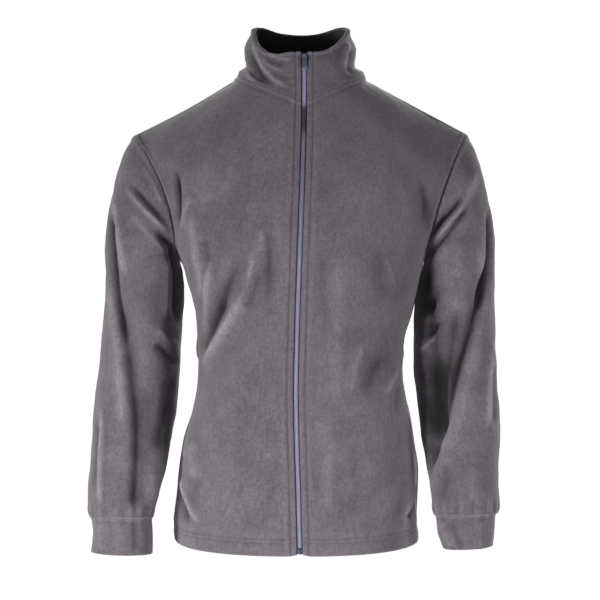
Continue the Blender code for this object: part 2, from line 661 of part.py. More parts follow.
def add_cloth(collection, name, grid, thickness, surface, closed=False):
    """Lofts a grid as one open surface and gives it its thickness on its inner side."""
    grid = np.asarray(grid)
    if not faces_out(grid, closed):
        grid = grid[:, ::-1]
    rows, columns = grid.shape[:2]
    cloth = bmesh.new()
    points = [[cloth.verts.new(point) for point in row] for row in grid]
    for lower, upper in zip(points, points[1:]):
        for column in range(columns if closed else columns - 1):
            after = (column + 1) % columns
            cloth.faces.new((lower[column], lower[after], upper[after], upper[column]))
    mesh = bpy.data.meshes.new(name)
    cloth.to_mesh(mesh)
    cloth.free()
    mesh.shade_smooth()
    part = add_object(collection, name, mesh, surface)
    wall = part.modifiers.new("Cloth thickness", "SOLIDIFY")
    wall.thickness = thickness
    wall.offset = -1
    return part


def add_block(collection, name, size, frame, surface, bevel):
    """A block with rounded edges, made at its real size."""
    block = bmesh.new()
    bmesh.ops.create_cube(block, size=1.0, matrix=Matrix.Diagonal((*size, 1.0)))
    mesh = bpy.data.meshes.new(name)
    block.to_mesh(mesh)
    block.free()
    part = add_object(collection, name, mesh, surface)
    part.matrix_world = frame
    rounding = part.modifiers.new("Rounded edges", "BEVEL")
    rounding.width = bevel
    rounding.segments = 3
    mesh.shade_smooth()
    return part


def add_bail(collection, frame):
    """The wire arch over the slider, as a closed mesh that the slider's body is joined with."""
    curve = bpy.data.curves.new("slider_bail", "CURVE")
    curve.dimensions = "3D"
    curve.bevel_depth = BAIL_WIRE
    curve.bevel_resolution = 2
    curve.use_fill_caps = True
    arch = [
        (0, -PIVOT_LAYER - BAIL_RADIUS * math.sin(turn), BAIL_RADIUS * math.cos(turn))
        for turn in np.linspace(0, math.pi, 9)
    ]
    foot_layer = -(SLIDER_BASE + SLIDER_THICKNESS / 2)
    route = [(0, foot_layer, BAIL_RADIUS), *arch, (0, foot_layer, -BAIL_RADIUS)]
    line = curve.splines.new("POLY")
    line.points.add(len(route) - 1)
    for point, place in zip(line.points, route):
        point.co = (*place, 1.0)
    wire = bpy.data.objects.new("slider_bail_wire", curve)
    collection.objects.link(wire)
    wire.matrix_world = frame
    bpy.context.view_layer.update()
    mesh = bpy.data.meshes.new_from_object(wire.evaluated_get(bpy.context.evaluated_depsgraph_get()))
    welded = bmesh.new()
    welded.from_mesh(mesh)
    bmesh.ops.remove_doubles(welded, verts=welded.verts, dist=0.01 * MM)
    welded.to_mesh(mesh)
    welded.free()
    bail = bpy.data.objects.new("slider_bail", mesh)
    collection.objects.link(bail)
    bail.matrix_world = frame
    bail.hide_render = True
    bail.display_type = "WIRE"
    bpy.data.objects.remove(wire)
    return bail


def add_slider(parts, helpers, frame):
    body_frame = frame @ Matrix.Translation((0, -(SLIDER_BASE + SLIDER_THICKNESS / 2), 0))
    size = (SLIDER_WIDTH, SLIDER_THICKNESS, SLIDER_LENGTH)
    slider = add_block(parts, "zip_slider", size, body_frame, "grey metal", SLIDER_ROUNDING)
    join = slider.modifiers.new("Bail", "BOOLEAN")
    join.operation = "UNION"
    join.object = add_bail(helpers, frame)


def rounded_corners(*corners):
    """An outline whose corners are each cut back to three points."""
    points = []
    for before, corner, after in zip(corners[-1:] + corners[:-1], corners, corners[1:] + corners[:1]):
        corner = Vector(corner)
        back = (Vector(before) - corner).normalized() * TAB_CORNER
        on = (Vector(after) - corner).normalized() * TAB_CORNER
        points += [corner + back, corner + (back + on) * TAB_CORNER_CUT, corner + on]
    return points


def add_pull_tab(collection, frame):
    """The pull tab as it hangs, with the slot that the bail goes through. Its origin is on its axis."""
    tab = bpy.data.curves.new("pull_tab", "CURVE")
    tab.dimensions = "2D"
    tab.fill_mode = "BOTH"
    tab.extrude = TAB_THICKNESS / 2 - TAB_EDGE
    tab.bevel_depth = TAB_EDGE
    tab.bevel_resolution = 0
    top, end, slot_end = TAB_BAR, TAB_BAR - TAB_LENGTH, -TAB_BAR - TAB_SLOT_LENGTH
    half_top, half_end, half_slot = TAB_TOP_WIDTH / 2, TAB_END_WIDTH / 2, TAB_SLOT_WIDTH / 2
    outline = rounded_corners((-half_top, top), (half_top, top), (half_end, end), (-half_end, end))
    slot = ((-half_slot, -TAB_BAR), (half_slot, -TAB_BAR), (half_slot, slot_end), (-half_slot, slot_end))
    for loop in (outline, slot):
        line = tab.splines.new("POLY")
        line.points.add(len(loop) - 1)
        line.use_cyclic_u = True
        for point, (x, y) in zip(line.points, loop):
            point.co = (x, y, 0, 1)
    part = add_object(collection, "pull_tab", tab, "grey metal")
    part.location = frame @ Vector((0, -PIVOT_LAYER, -PIVOT_DROP))
    part.rotation_euler = (math.pi / 2, 0, 0)


# The jacket


def body_quarters():
    """Fronts and half backs out to their seams, with their folds."""
    fronts = {side: panel_grid(side, FRONT) for side in (RIGHT, LEFT)}
    halves = [panel_grid(side, BACK) for side in (RIGHT, LEFT)]
    whole_back = np.concatenate([halves[0][:, ::-1], halves[1][:, 1:]], axis=1)
    whole_back = folded_panel(whole_back, BACK_FOLDS, BACK)
    return {
        (RIGHT, FRONT): folded_panel(fronts[RIGHT], FRONT_FOLDS[RIGHT], FRONT),
        (LEFT, FRONT): folded_panel(fronts[LEFT], FRONT_FOLDS[LEFT], FRONT),
        (RIGHT, BACK): whole_back[:, HALF_BACK_STEPS::-1],
        (LEFT, BACK): whole_back[:, HALF_BACK_STEPS:],
    }


def add_body(parts):
    """Adds the fronts and the back, and returns the neck seam and the way down from it."""
    places = row_places()
    plain = body_quarters()
    across = {key: edge_across(*key, places) for key in plain}
    banded = {key: with_edge_band(plain[key], across[key]) for key in plain}
    line, below = neck_ring(banded, -1), neck_ring(banded, -2)
    down = neck_across(line, below, collar_wall(line, COLLAR_RISES[0]))
    shares = quarter_shares(down, banded)
    panels = {key: finished_panel(banded[key], key[0], across[key], shares[key]) for key in plain}
    back = np.concatenate([panels[RIGHT, BACK][:, ::-1], panels[LEFT, BACK][:, 1:]], axis=1)
    add_cloth(parts, "front_right", panels[RIGHT, FRONT], FLEECE, "grey fleece")
    add_cloth(parts, "front_left", panels[LEFT, FRONT], FLEECE, "grey fleece")
    add_cloth(parts, "back", back, FLEECE, "grey fleece")
    return line, down


def add_sleeves(parts):
    for side in (RIGHT, LEFT):
        name = side_name(side)
        add_cloth(parts, "sleeve_" + name, sleeve_grid(side), FLEECE, "grey fleece", closed=True)
        add_cloth(parts, "cuff_" + name, cuff_grid(side), FLEECE, "grey fleece", closed=True)


def add_collar(parts, neck_line, down):
    collar = collar_grid(neck_line, down)
    add_cloth(parts, "collar", collar, FLEECE, "grey fleece")
    facing = facing_grid(neck_line, collar[-1])
    add_cloth(parts, "collar_facing", facing, FACING_CLOTH, "dark facing")
    return collar


def add_zip(parts, helpers, collar):
    face = zip_face(collar)
    reach = np.where(face[:, 2] > COLLAR_ZIP_HEIGHTS[-3], TAPE_END_REACH, TAPE_REACH)
    middle = SEAM_GAP / 2
    add_cloth(parts, "zip_tape_right", strip_grid(face, -reach, -middle, TAPE_LAYER), TAPE_CLOTH, "zip tape")
    add_cloth(parts, "zip_tape_left", strip_grid(face, middle, reach, TAPE_LAYER), TAPE_CLOTH, "zip tape")
    chain_bottom = ZIP_BOTTOM + BOX_LENGTH + SEAM_GAP
    chain = stretch(face, chain_bottom, ZIP_TOP - MM)
    strip = strip_grid(chain, -CHAIN_WIDTH / 2, CHAIN_WIDTH / 2, CHAIN_LAYER)
    add_cloth(parts, "zip_chain", strip, CHAIN_THICKNESS, "zip coil")
    box_frame = place_on_zip(face, ZIP_BOTTOM + BOX_LENGTH / 2, BOX_LENGTH)
    box_depth = BOX_THICKNESS / 2 - TAPE_LAYER - BOX_THICKNESS - SEAM_GAP
    box_frame = box_frame @ Matrix.Translation((0, box_depth, 0))
    box_size = (BOX_WIDTH, BOX_THICKNESS, BOX_LENGTH)
    add_block(parts, "zip_box", box_size, box_frame, "grey metal", SLIDER_ROUNDING)
    slider_frame = place_on_zip(face, SLIDER_PLACE, SLIDER_LENGTH)
    add_slider(parts, helpers, slider_frame)
    add_pull_tab(parts, slider_frame)


def new_collection(name):
    collection = bpy.data.collections.new(name)
    bpy.context.scene.collection.children.link(collection)
    return collection


def main():
    for startup_object in list(bpy.data.objects):
        bpy.data.objects.remove(startup_object)
    parts = new_collection("Fleece zip jacket")
    helpers = new_collection("Jacket helpers")
    neck_line, down = add_body(parts)
    add_sleeves(parts)
    collar = add_collar(parts, neck_line, down)
    add_zip(parts, helpers, collar)


main()
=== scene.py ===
"""The looks of a grey fleece zip jacket, hollow as it is worn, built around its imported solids.

Metres, +Z up. The front faces -Y and the wearer's left side is +X. The origin is the middle of the neck
opening, where the shoulder seams meet the collar. Left and right in names are the wearer's.

A cloth piece starts as a plain form: a grid of points between its seams. Folds, seams and stitched lines
then raise or sink the grid along its normals, and a thin wall gives the cloth its thickness.
"""

from __future__ import annotations

import logging
import math
from collections.abc import Sequence
from dataclasses import dataclass, field
from enum import Enum
from typing import Any

import bpy
import numpy as np
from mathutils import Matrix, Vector


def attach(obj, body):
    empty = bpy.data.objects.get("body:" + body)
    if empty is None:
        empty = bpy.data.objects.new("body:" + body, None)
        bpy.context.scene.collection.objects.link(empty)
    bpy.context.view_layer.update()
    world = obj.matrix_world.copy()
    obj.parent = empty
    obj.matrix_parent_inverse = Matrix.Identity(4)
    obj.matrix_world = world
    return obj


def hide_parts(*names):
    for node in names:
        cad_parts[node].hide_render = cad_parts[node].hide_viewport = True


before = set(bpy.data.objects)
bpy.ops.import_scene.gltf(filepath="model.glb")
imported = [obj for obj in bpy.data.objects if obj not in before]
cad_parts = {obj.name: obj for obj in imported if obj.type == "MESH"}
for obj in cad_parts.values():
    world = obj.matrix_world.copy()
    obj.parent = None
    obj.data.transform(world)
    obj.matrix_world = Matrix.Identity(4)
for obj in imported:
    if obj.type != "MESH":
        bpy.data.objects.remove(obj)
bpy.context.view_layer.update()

log = logging.getLogger("fleece_jacket")
Array = np.ndarray
Piece = bpy.types.Object
Pair = tuple[float, float]

MM = 0.001
SIDEWAYS = np.array([1.0, 0.0, 0.0])
BACKWARDS = np.array([0.0, 1.0, 0.0])
UP = np.array([0.0, 0.0, 1.0])
JACKET = "jacket"
PULL_TAB = "pull_tab"


class Side(Enum):
    """The wearer's right or left, as the sign of X."""

    RIGHT = -1
    LEFT = 1

    @property
    def word(self) -> str:
        """The side's name as node names give it."""
        return self.name.lower()


class Face(Enum):
    """The front or the back of the jacket, as the sign of Y."""

    FRONT = -1
    BACK = 1


class Held(Enum):
    DRAPED = "draped"
    FOLDED = "folded"
    STRETCHED = "stretched"


# Curves and grids. A grid is an array of rows of points; on panels its rows run upwards.


def unit(vectors: Array) -> Array:
    """Vectors of length one in the same directions."""
    return vectors / np.maximum(np.linalg.norm(vectors, axis=-1, keepdims=True), 1e-12)


def eased(values: Array, steps: float, axis: int = 0) -> Array:
    """Averages values along an axis under a bell curve and keeps both ends in place.

    Beyond each end the values go on as the same values turned half a turn about it, so straight stays straight.

    Args:
        values: What to average.
        steps: The bell curve's standard deviation, in steps of the axis.
        axis: The axis to average along.

    Returns:
        The averaged values.
    """
    values = np.moveaxis(values, axis, 0)
    reach = min(int(math.ceil(3 * steps)), len(values) - 1)
    before = 2 * values[:1] - values[reach:0:-1]
    after = 2 * values[-1:] - values[-2 : -reach - 2 : -1]
    longer = np.concatenate([before, values, after])
    weights = np.exp(-0.5 * (np.arange(-reach, reach + 1) / steps) ** 2)
    weights /= weights.sum()
    total = sum(weight * longer[start : start + len(values)] for start, weight in enumerate(weights))
    return np.moveaxis(total, 0, axis)


def without_overshoot(place: Array, places: Array, values: Array) -> Array:
    """Reads a cubic curve through table rows whose slopes are the harmonic means of the rises beside them.

    Args:
        place: Where to read it.
        places: The rows' places.
        values: The rows' values.

    Returns:
        The curve's values.
    """
    steps = np.diff(places)
    rises = np.diff(values) / steps
    slopes = np.empty(len(places))
    slopes[0], slopes[-1] = rises[0], rises[-1]
    same_way = rises[:-1] * rises[1:] > 0
    sums = np.where(same_way, rises[:-1] + rises[1:], 1)
    slopes[1:-1] = np.where(same_way, 2 * rises[:-1] * rises[1:] / sums, 0)
    row = np.clip(np.searchsorted(places, place, side="right") - 1, 0, len(steps) - 1)
    step, share = steps[row], (place - places[row]) / steps[row]
    return (
        values[row] * (1 + 2 * share) * (1 - share) ** 2
        + values[row + 1] * share**2 * (3 - 2 * share)
        + step * slopes[row] * share * (1 - share) ** 2
        - step * slopes[row + 1] * share**2 * (1 - share)
    )


class Curves:
    """A short table with named columns, read as smooth curves along its first column."""

    SAMPLES = 801

    def __init__(self, names: str, *rows: tuple[float, ...], ease: float = 9.0) -> None:
        """Samples every column as a curve with no overshoot and eases it.

        Args:
            names: The columns' names; the first is what the curves run along.
            rows: The table's rows.
            ease: The easing's reach in samples, of which there are 801 from end to end.
        """
        places, *columns = np.array(rows, float).T
        self.run = np.linspace(places[0], places[-1], self.SAMPLES)
        self.curves = {
            name: eased(without_overshoot(self.run, places, column), ease)
            for name, column in zip(names.split()[1:], columns)
        }

    def at(self, name: str, place: Any) -> Any:
        """The named curve's value at a place or at an array of places."""
        return np.interp(place, self.run, self.curves[name])


def table(names: str, *rows: tuple[float, ...], ease: float = 9.0) -> Any:
    """A dataclass field that starts as the table's curves."""
    return field(default_factory=lambda: Curves(names, *rows, ease=ease))


def lengths_along(grid: Array, axis: int) -> Array:
    """Each point's distance along the grid's own lines from the first one: the running sum of the steps.

    Args:
        grid: The points.
        axis: The axis that the lines run along.

    Returns:
        The distances.
    """
    steps = np.linalg.norm(np.diff(grid, axis=axis), axis=-1)
    start = np.zeros_like(np.take(steps, [0], axis=axis))
    return np.concatenate([start, np.cumsum(steps, axis=axis)], axis=axis)


def points_at(wanted: Array, places: Array, points: Array) -> Array:
    """Points at wanted places, between those at the given places in a straight line."""
    return np.stack([np.interp(wanted, places, column) for column in points.T], axis=1)


def at_lengths(path: Array, wanted: Array) -> Array:
    """Points of a path at the wanted distances along it."""
    return points_at(wanted, lengths_along(path, 0), path)


def grid_normals(grid: Array, closed: bool) -> Array:
    """Normals as the cross product of the grid's two slopes, turned to point away from its middle.

    Args:
        grid: Rows of points.
        closed: Whether its rows close.

    Returns:
        A normal for each point.
    """
    if closed:
        along_row = np.roll(grid, -1, axis=1) - np.roll(grid, 1, axis=1)
        middle = grid.mean(axis=1, keepdims=True)
    else:
        along_row = np.gradient(grid, axis=1)
        middle = grid[:, :1] * [0, 0, 1]
    normals = unit(np.cross(along_row, np.gradient(grid, axis=0)))
    return normals * np.sign(((grid - middle) * normals).sum())


def once_round(count: int) -> Array:
    """Angles that go evenly once round."""
    return np.linspace(0, 2 * math.pi, count, endpoint=False)


def bell(distance: Array, width: float) -> Array:
    """A bell curve: one at no distance, and a third of that at one width."""
    return np.exp(-((distance / width) ** 2))


def crest(distance: Array, width: Array | float) -> Array:
    """A bell curve with a tighter top: it falls as the distance in widths to the power 1.5.

    Inside the power 0.06 rounds the top, and 0.121 brings it back to one.
    """
    return np.exp(0.121 - ((distance / width) ** 2 + 0.06) ** 0.75)


def new_mesh(name: str, points: Array, faces: list[list[int]]) -> Piece:
    """Makes a smooth-shaded mesh object at the origin from points and faces.

    Args:
        name: Its name.
        points: The points.
        faces: Each face's point numbers.

    Returns:
        The mesh.
    """
    mesh = bpy.data.meshes.new(name)
    mesh.from_pydata(points.reshape(-1, 3).tolist(), [], faces)
    mesh.shade_smooth()
    made = bpy.data.objects.new(name, mesh)
    bpy.context.scene.collection.objects.link(made)
    return made


def quads(rows: int, columns: int, closed: bool = False, looped: bool = False) -> Array:
    """Four-sided faces between a grid's neighbouring points, as the points' numbers.

    Args:
        rows: The number of rows.
        columns: The number of points in a row.
        closed: Whether its rows close.
        looped: Whether the last row joins the first.

    Returns:
        The faces.
    """
    index = np.arange(rows * columns).reshape(rows, columns)
    index = np.pad(index, ((0, int(looped)), (0, int(closed))), mode="wrap")
    return np.stack([index[:-1, :-1], index[:-1, 1:], index[1:, 1:], index[1:, :-1]], axis=-1).reshape(-1, 4)


def end_faces(rows: int, columns: int) -> list[list[int]]:
    """The two flat faces that close a grid of closed rows at its ends, as the points' numbers."""
    return [list(range(columns))[::-1], list(range((rows - 1) * columns, rows * columns))]


def loft(name: str, grid: Array, closed: bool = False) -> Piece:
    """Makes a mesh of four-sided faces between a grid's neighbouring points, facing outwards.

    Args:
        name: Its name.
        grid: Rows of points.
        closed: Whether its rows close.

    Returns:
        The mesh.
    """
    faces = quads(*grid.shape[:2], closed)
    middle = len(grid) // 2
    corner, along, up = grid[middle, 0], grid[middle, 1], grid[middle + 1, 0]
    outwards = grid_normals(grid, closed)[middle, 0]
    if np.cross(along - corner, up - corner).dot(outwards) < 0:
        faces = faces[:, ::-1]
    return new_mesh(name, grid, faces.tolist())


def rods(name: str, starts: Array, ends: Array, outwards: Array, half_width: float, half_height: float) -> Piece:
    """Makes short rods with rounded ends, as stitches and coil turns are, all in one mesh.

    Each rod has four rings of five points: at shares 0, 0.2, 0.8 and 1 of its length, the end rings at 0.45 of its
    girth. A ring's points are the middle plus cos(turn) half widths sideways and sin(turn) half heights outwards.

    Args:
        name: Its name.
        starts: Where each rod starts.
        ends: Where each rod ends.
        outwards: Each rod's outward direction.
        half_width: Half the girth sideways.
        half_height: Half the girth outwards.

    Returns:
        The mesh.
    """
    shares = np.array([0.0, 0.2, 0.8, 1.0])[:, None]
    girth = np.array([0.45, 1.0, 1.0, 0.45])[:, None, None]
    around = 5
    turns = once_round(around)[:, None]
    sideways = unit(np.cross(ends - starts, outwards))
    middles = starts[:, None] + (ends - starts)[:, None] * shares
    rings = np.cos(turns) * half_width * sideways[:, None] + np.sin(turns) * half_height * outwards[:, None]
    points = middles[:, :, None] + girth * rings[:, None]
    first = np.arange(len(starts))[:, None, None] * len(shares) * around
    sides = (first + quads(len(shares), around, closed=True)).reshape(-1, 4).tolist()
    caps = (first + np.array(end_faces(len(shares), around))).reshape(-1, around).tolist()
    return new_mesh(name, points, sides + caps)


# Folds and waves


@dataclass(frozen=True)
class Fold:
    """A soft ridge, or a valley where its height is negative, along a bent line.

    Points are (x, z) in millimetres as the piece is seen from the front or the back. Height and width are in
    millimetres, and width is to where it has fallen to a third. A lean above zero widens its left-hand slope and
    steepens its right-hand one, seen along the line from its first point.
    """

    points: tuple[Pair, ...]
    height: float
    width: float
    lean: float = 0.0
    ends: float = 0.22
    samples: int = 25
    ease: float = 2.5
    reach: float = 3.2  # widths, past which it lifts nothing

    def line(self) -> Array:
        """The fold's middle line: its points joined, spaced evenly and eased into a curve.

        Returns:
            The line's (x, z) in metres.
        """
        points = np.array(self.points) * MM
        lengths = lengths_along(points, 0)
        wanted = np.linspace(0, lengths[-1], self.samples)
        return eased(points_at(wanted, lengths, points), self.ease)

    def heights(self, seen: Array) -> Array:
        """How far the fold lifts each point: a crest over its distance from the line, fading at both ends.

        Args:
            seen: The points' (x, z).

        Returns:
            The heights in metres.
        """
        line = self.line()
        reach = self.reach * self.width * MM * (1 + abs(self.lean))
        inside = ((seen > line.min(axis=0) - reach) & (seen < line.max(axis=0) + reach)).all(axis=1)
        near = seen[inside]
        runs = np.diff(line, axis=0)
        from_start = near[:, None] - line[None, :-1]
        along = np.clip((from_start * runs).sum(-1) / (runs**2).sum(-1), 0, 1)
        gaps = np.linalg.norm(from_start - along[..., None] * runs, axis=-1)
        nearest = gaps.argmin(axis=1)
        rows = np.arange(len(near))
        place = (nearest + along[rows, nearest]) / len(runs)
        offset = from_start[rows, nearest]
        left = np.sign(runs[nearest, 0] * offset[:, 1] - runs[nearest, 1] * offset[:, 0])
        width = self.width * MM * (1 + self.lean * left)
        fade = np.clip(np.minimum(place, 1 - place) / self.ends + 0.05, 0, 1)
        total = np.zeros(len(seen))
        total[inside] = self.height * MM * fade * fade * (3 - 2 * fade) * crest(gaps[rows, nearest], width)
        return total


@dataclass(frozen=True)
class Ridge:
    """A low ridge beside a seam or an edge, or a groove where its height is negative, in millimetres."""

    distance: float
    height: float
    width: float


ZIP_GROOVE = Ridge(8.8, -0.85, 1.4)  # the line of stitches beside the zip
ZIP_SWELL = Ridge(4.6, 0.3, 2.2)


def waves(points: Array, length: float, seed: int) -> Array:
    """Gentle unevenness between about -1 and 1: the sum of twelve sine waves of about one length.

    Args:
        points: The points.
        length: The usual wave length in metres.
        seed: Sets the waves' directions and phases.

    Returns:
        A value for each point.
    """
    random = np.random.default_rng(seed)
    directions = unit(random.normal(size=(12, 3))) * (2 * math.pi / length) * random.uniform(0.7, 1.4, (12, 1))
    phases = random.uniform(0, 2 * math.pi, 12)
    return np.sin(points @ directions.T + phases).sum(axis=-1) / 4


@dataclass
class Cloth:
    """A piece of cloth: its plain form, and how far its folds and seams lift each point of it."""

    name: str
    plain: Array
    closed: bool = False
    wall: float = 2.2 * MM
    face_slope: float = 2.2  # how fast folds come in as the cloth turns to their face
    face_margin: float = 0.15
    uneven_waves: tuple[Pair, ...] = ((0.115, 1.25 * MM), (0.048, 0.50 * MM), (0.021, 0.17 * MM))
    seam_width: float = 1.8 * MM
    lip_distance: float = 5.5 * MM
    lip_width: float = 4.0 * MM
    zip_rounding: float = 1.9 * MM
    # Painted shading: a gain and blurs that turn the heights into a measure of ridges and hollows, which the fleece
    # lightens and darkens in colour.
    relief_gain: float = 3.4
    relief_blurs: tuple[Pair, ...] = ((0.6, 15 * MM), (2.2, 4 * MM))  # weight and reach
    height: Array = field(init=False)
    normals: Array = field(init=False)

    def __post_init__(self) -> None:
        """Works out the plain form's normals and starts with no heights."""
        self.normals = grid_normals(self.plain, self.closed)
        self.height = np.zeros(self.plain.shape[:2])

    def fold(self, folds: Sequence[Fold], face: Face, share: Array | float = 1.0) -> None:
        """Lifts the points of one face by its folds.

        Args:
            folds: The folds.
            face: Which way the cloth they lie on faces.
            share: How much of them each point takes.
        """
        seen = self.plain[..., [0, 2]].reshape(-1, 2)
        total = sum((fold.heights(seen) for fold in folds), np.zeros(len(seen)))
        on_face = np.clip(self.face_slope * face.value * self.normals[..., 1] + self.face_margin, 0, 1)
        self.height += total.reshape(self.height.shape) * on_face * share

    def unevenness(self, seed: int, share: Array | float = 1.0, scale: float = 1.0) -> None:
        """Lifts the points by waves of three lengths, as brushed cloth never lies quite even.

        Args:
            seed: The number before the first waves' seed.
            share: How much of them each point takes.
            scale: How high they are against a large piece's.
        """
        for length, height in self.uneven_waves:
            seed += 1
            self.height += scale * height * waves(self.plain, length, seed) * share

    def ridges(self, distance: Array, *ridges: Ridge) -> None:
        """Raises or sinks lines at their distances from a seam or an edge, each as a bell curve."""
        for ridge in ridges:
            self.height += ridge.height * MM * bell(distance - ridge.distance * MM, ridge.width * MM)

    def seam(self, distance: Array, lip: Array | float, dip: float = 1.1 * MM) -> None:
        """Draws the cloth in at a seam, with a soft lip beside it."""
        self.height += -dip * bell(distance, self.seam_width)
        self.height += lip * bell(distance - self.lip_distance, self.lip_width)

    def edge(self, distance: Array, depth: float) -> None:
        """Rounds an edge inwards as a quarter circle of that depth."""
        inside = np.clip(1 - distance / depth, 0, 1)
        self.height -= depth * (1 - np.sqrt(1 - inside**2))

    def zip_edge(self, from_zip: Array) -> None:
        """Rounds an edge beside the zip and stitches it down, with a low swell up to the stitches."""
        self.edge(from_zip, self.zip_rounding)
        self.ridges(from_zip, ZIP_GROOVE, ZIP_SWELL)

    @property
    def surface(self) -> Array:
        """The plain form with its heights."""
        return self.plain + self.height[..., None] * self.normals

    def build(self, finish: Finish, node: str, flat: Pair, area: float, held: Held) -> None:
        """Makes the piece, which stands for its CAD node.

        Args:
            finish: The cloth's finish.
            node: The CAD node it replaces.
            flat: The cut's width and length before it was sewn, in metres; not used.
            area: The cut's flat area in square metres.
            held: How it is held; not used.
        """
        surface = self.surface
        piece = loft(self.name, surface, self.closed)
        # Painted shading: ridges stand out above their blurred surroundings and hollows below them, kept on the
        # points for the fleece's colour.
        painted_shading_level = self.relief_gain * self.height
        for weight, reach in self.relief_blurs:
            painted_shading_level = painted_shading_level - weight * self.blurred_height(reach)
        relief = piece.data.attributes.new("relief", "FLOAT", "POINT")
        relief.data.foreach_set("value", (painted_shading_level / MM).ravel().astype(np.float32))
        wall = piece.modifiers.new("Cloth thickness", "SOLIDIFY")
        wall.thickness = self.wall
        wall.offset = -1
        finish.dress(piece)
        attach(piece, JACKET)
        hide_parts(node)
        measured = surface_area(surface, self.closed)
        log.info("%s: %.3f m2 against a cut of %.3f m2", self.name, measured, area)

    def blurred_height(self, reach: float) -> Array:
        """The heights averaged over a reach each way, against which a ridge or a seam stands out.

        Args:
            reach: The reach in metres.

        Returns:
            The averaged heights.
        """
        middle = len(self.plain) // 2
        up = np.linalg.norm(np.diff(self.plain[:, 0], axis=0), axis=-1).mean()
        across = np.linalg.norm(np.diff(self.plain[middle], axis=0), axis=-1).mean()
        return eased(eased(self.height, reach / max(up, 1e-6), 0), reach / max(across, 1e-6), 1)


def surface_area(grid: Array, closed: bool) -> float:
    """A grid's area: half the cross product of each face's diagonals, summed.

    Args:
        grid: Rows of points.
        closed: Whether its rows close.

    Returns:
        The area in square metres.
    """
    if closed:
        grid = np.concatenate([grid, grid[:, :1]], axis=1)
    diagonals = np.cross(grid[1:, 1:] - grid[:-1, :-1], grid[1:, :-1] - grid[:-1, 1:])
    return float(np.linalg.norm(diagonals, axis=-1).sum() / 2)


def faded(distance: Array, start: float, reach: float) -> Array:
    """Rises smoothly from none at a start distance to one a reach further on."""
    share = np.clip((distance - start) / reach, 0, 1)
    return share * share * (3 - 2 * share)


# The jacket's plain form


class Tube(Curves):
    """A sleeve or a cuff as rings that lean and bend with it, as a table says; its bow may be left out."""

    NAMES = "run outer_x outer_z inner_x inner_z middle_y depth bow"

    def __init__(self, side: Side, *rows: tuple[float, ...]) -> None:
        """Reads the table for one side."""
        super().__init__(self.NAMES, *rows)
        self.side = side

    def rings(self, runs: Array, turns: Array) -> Array:
        """Rings at runs along the tube: half an ellipse's cosine across it, a sine in depth, and a bow inwards.

        Args:
            runs: Shares of the tube's length.
            turns: Angles round it from its inner edge, which go round by the front.

        Returns:
            A row of points for each run.
        """
        values = {name: np.reshape(self.at(name, runs), (-1, 1)) for name in self.curves}
        half_x = (values["outer_x"] - values["inner_x"]) / 2
        half_z = (values["outer_z"] - values["inner_z"]) / 2
        x = values["inner_x"] + half_x * (1 - np.cos(turns)) - values.get("bow", 0.0) * np.sin(turns) ** 2
        z = values["inner_z"] + half_z * (1 - np.cos(turns))
        y = values["middle_y"] - values["depth"] * np.sin(turns)
        return np.stack([self.side.value * x, y, z], axis=-1)


SLEEVE_TUBES = {
    Side.RIGHT: Tube(
        Side.RIGHT,
        (0.00, 0.2490, -0.082, 0.1850, -0.265, 0.010, 0.062, 0.018),
        (0.05, 0.2625, -0.102, 0.1810, -0.276, 0.010, 0.064, 0.010),
        (0.11, 0.2725, -0.132, 0.1770, -0.289, 0.011, 0.065, 0.004),
        (0.18, 0.2800, -0.168, 0.1755, -0.305, 0.013, 0.066, 0.001),
        (0.25, 0.2905, -0.208, 0.1750, -0.327, 0.016, 0.066, 0.000),
        (0.35, 0.2950, -0.262, 0.1765, -0.358, 0.019, 0.065, 0.000),
        (0.46, 0.2945, -0.325, 0.1790, -0.397, 0.018, 0.063, 0.000),
        (0.57, 0.2985, -0.392, 0.1815, -0.440, 0.010, 0.060, 0.000),
        (0.68, 0.3055, -0.462, 0.1845, -0.487, -0.003, 0.058, 0.000),
        (0.78, 0.3090, -0.520, 0.1905, -0.533, -0.020, 0.054, 0.000),
        (0.87, 0.3095, -0.572, 0.1985, -0.577, -0.038, 0.050, 0.000),
        (0.95, 0.3118, -0.615, 0.2085, -0.617, -0.054, 0.046, 0.000),
        (1.00, 0.3110, -0.638, 0.2130, -0.638, -0.062, 0.043, 0.000),
    ),
    Side.LEFT: Tube(
        Side.LEFT,
        (0.00, 0.2490, -0.079, 0.1880, -0.265, 0.010, 0.062, 0.008),
        (0.05, 0.2610, -0.100, 0.1865, -0.276, 0.010, 0.064, 0.004),
        (0.11, 0.2720, -0.130, 0.1815, -0.289, 0.011, 0.065, 0.001),
        (0.18, 0.2810, -0.168, 0.1775, -0.306, 0.013, 0.066, 0.000),
        (0.25, 0.2910, -0.208, 0.1740, -0.330, 0.016, 0.066, 0.000),
        (0.35, 0.2950, -0.262, 0.1715, -0.362, 0.019, 0.065, 0.000),
        (0.46, 0.2925, -0.328, 0.1720, -0.400, 0.018, 0.063, 0.000),
        (0.57, 0.2945, -0.392, 0.1725, -0.440, 0.010, 0.060, 0.000),
        (0.68, 0.2968, -0.462, 0.1765, -0.487, -0.003, 0.058, 0.000),
        (0.78, 0.2967, -0.520, 0.1815, -0.533, -0.020, 0.054, 0.000),
        (0.87, 0.2950, -0.572, 0.1880, -0.577, -0.038, 0.050, 0.000),
        (0.95, 0.2935, -0.612, 0.1925, -0.613, -0.054, 0.046, 0.000),
        (1.00, 0.2925, -0.634, 0.1938, -0.634, -0.062, 0.043, 0.000),
    ),
}
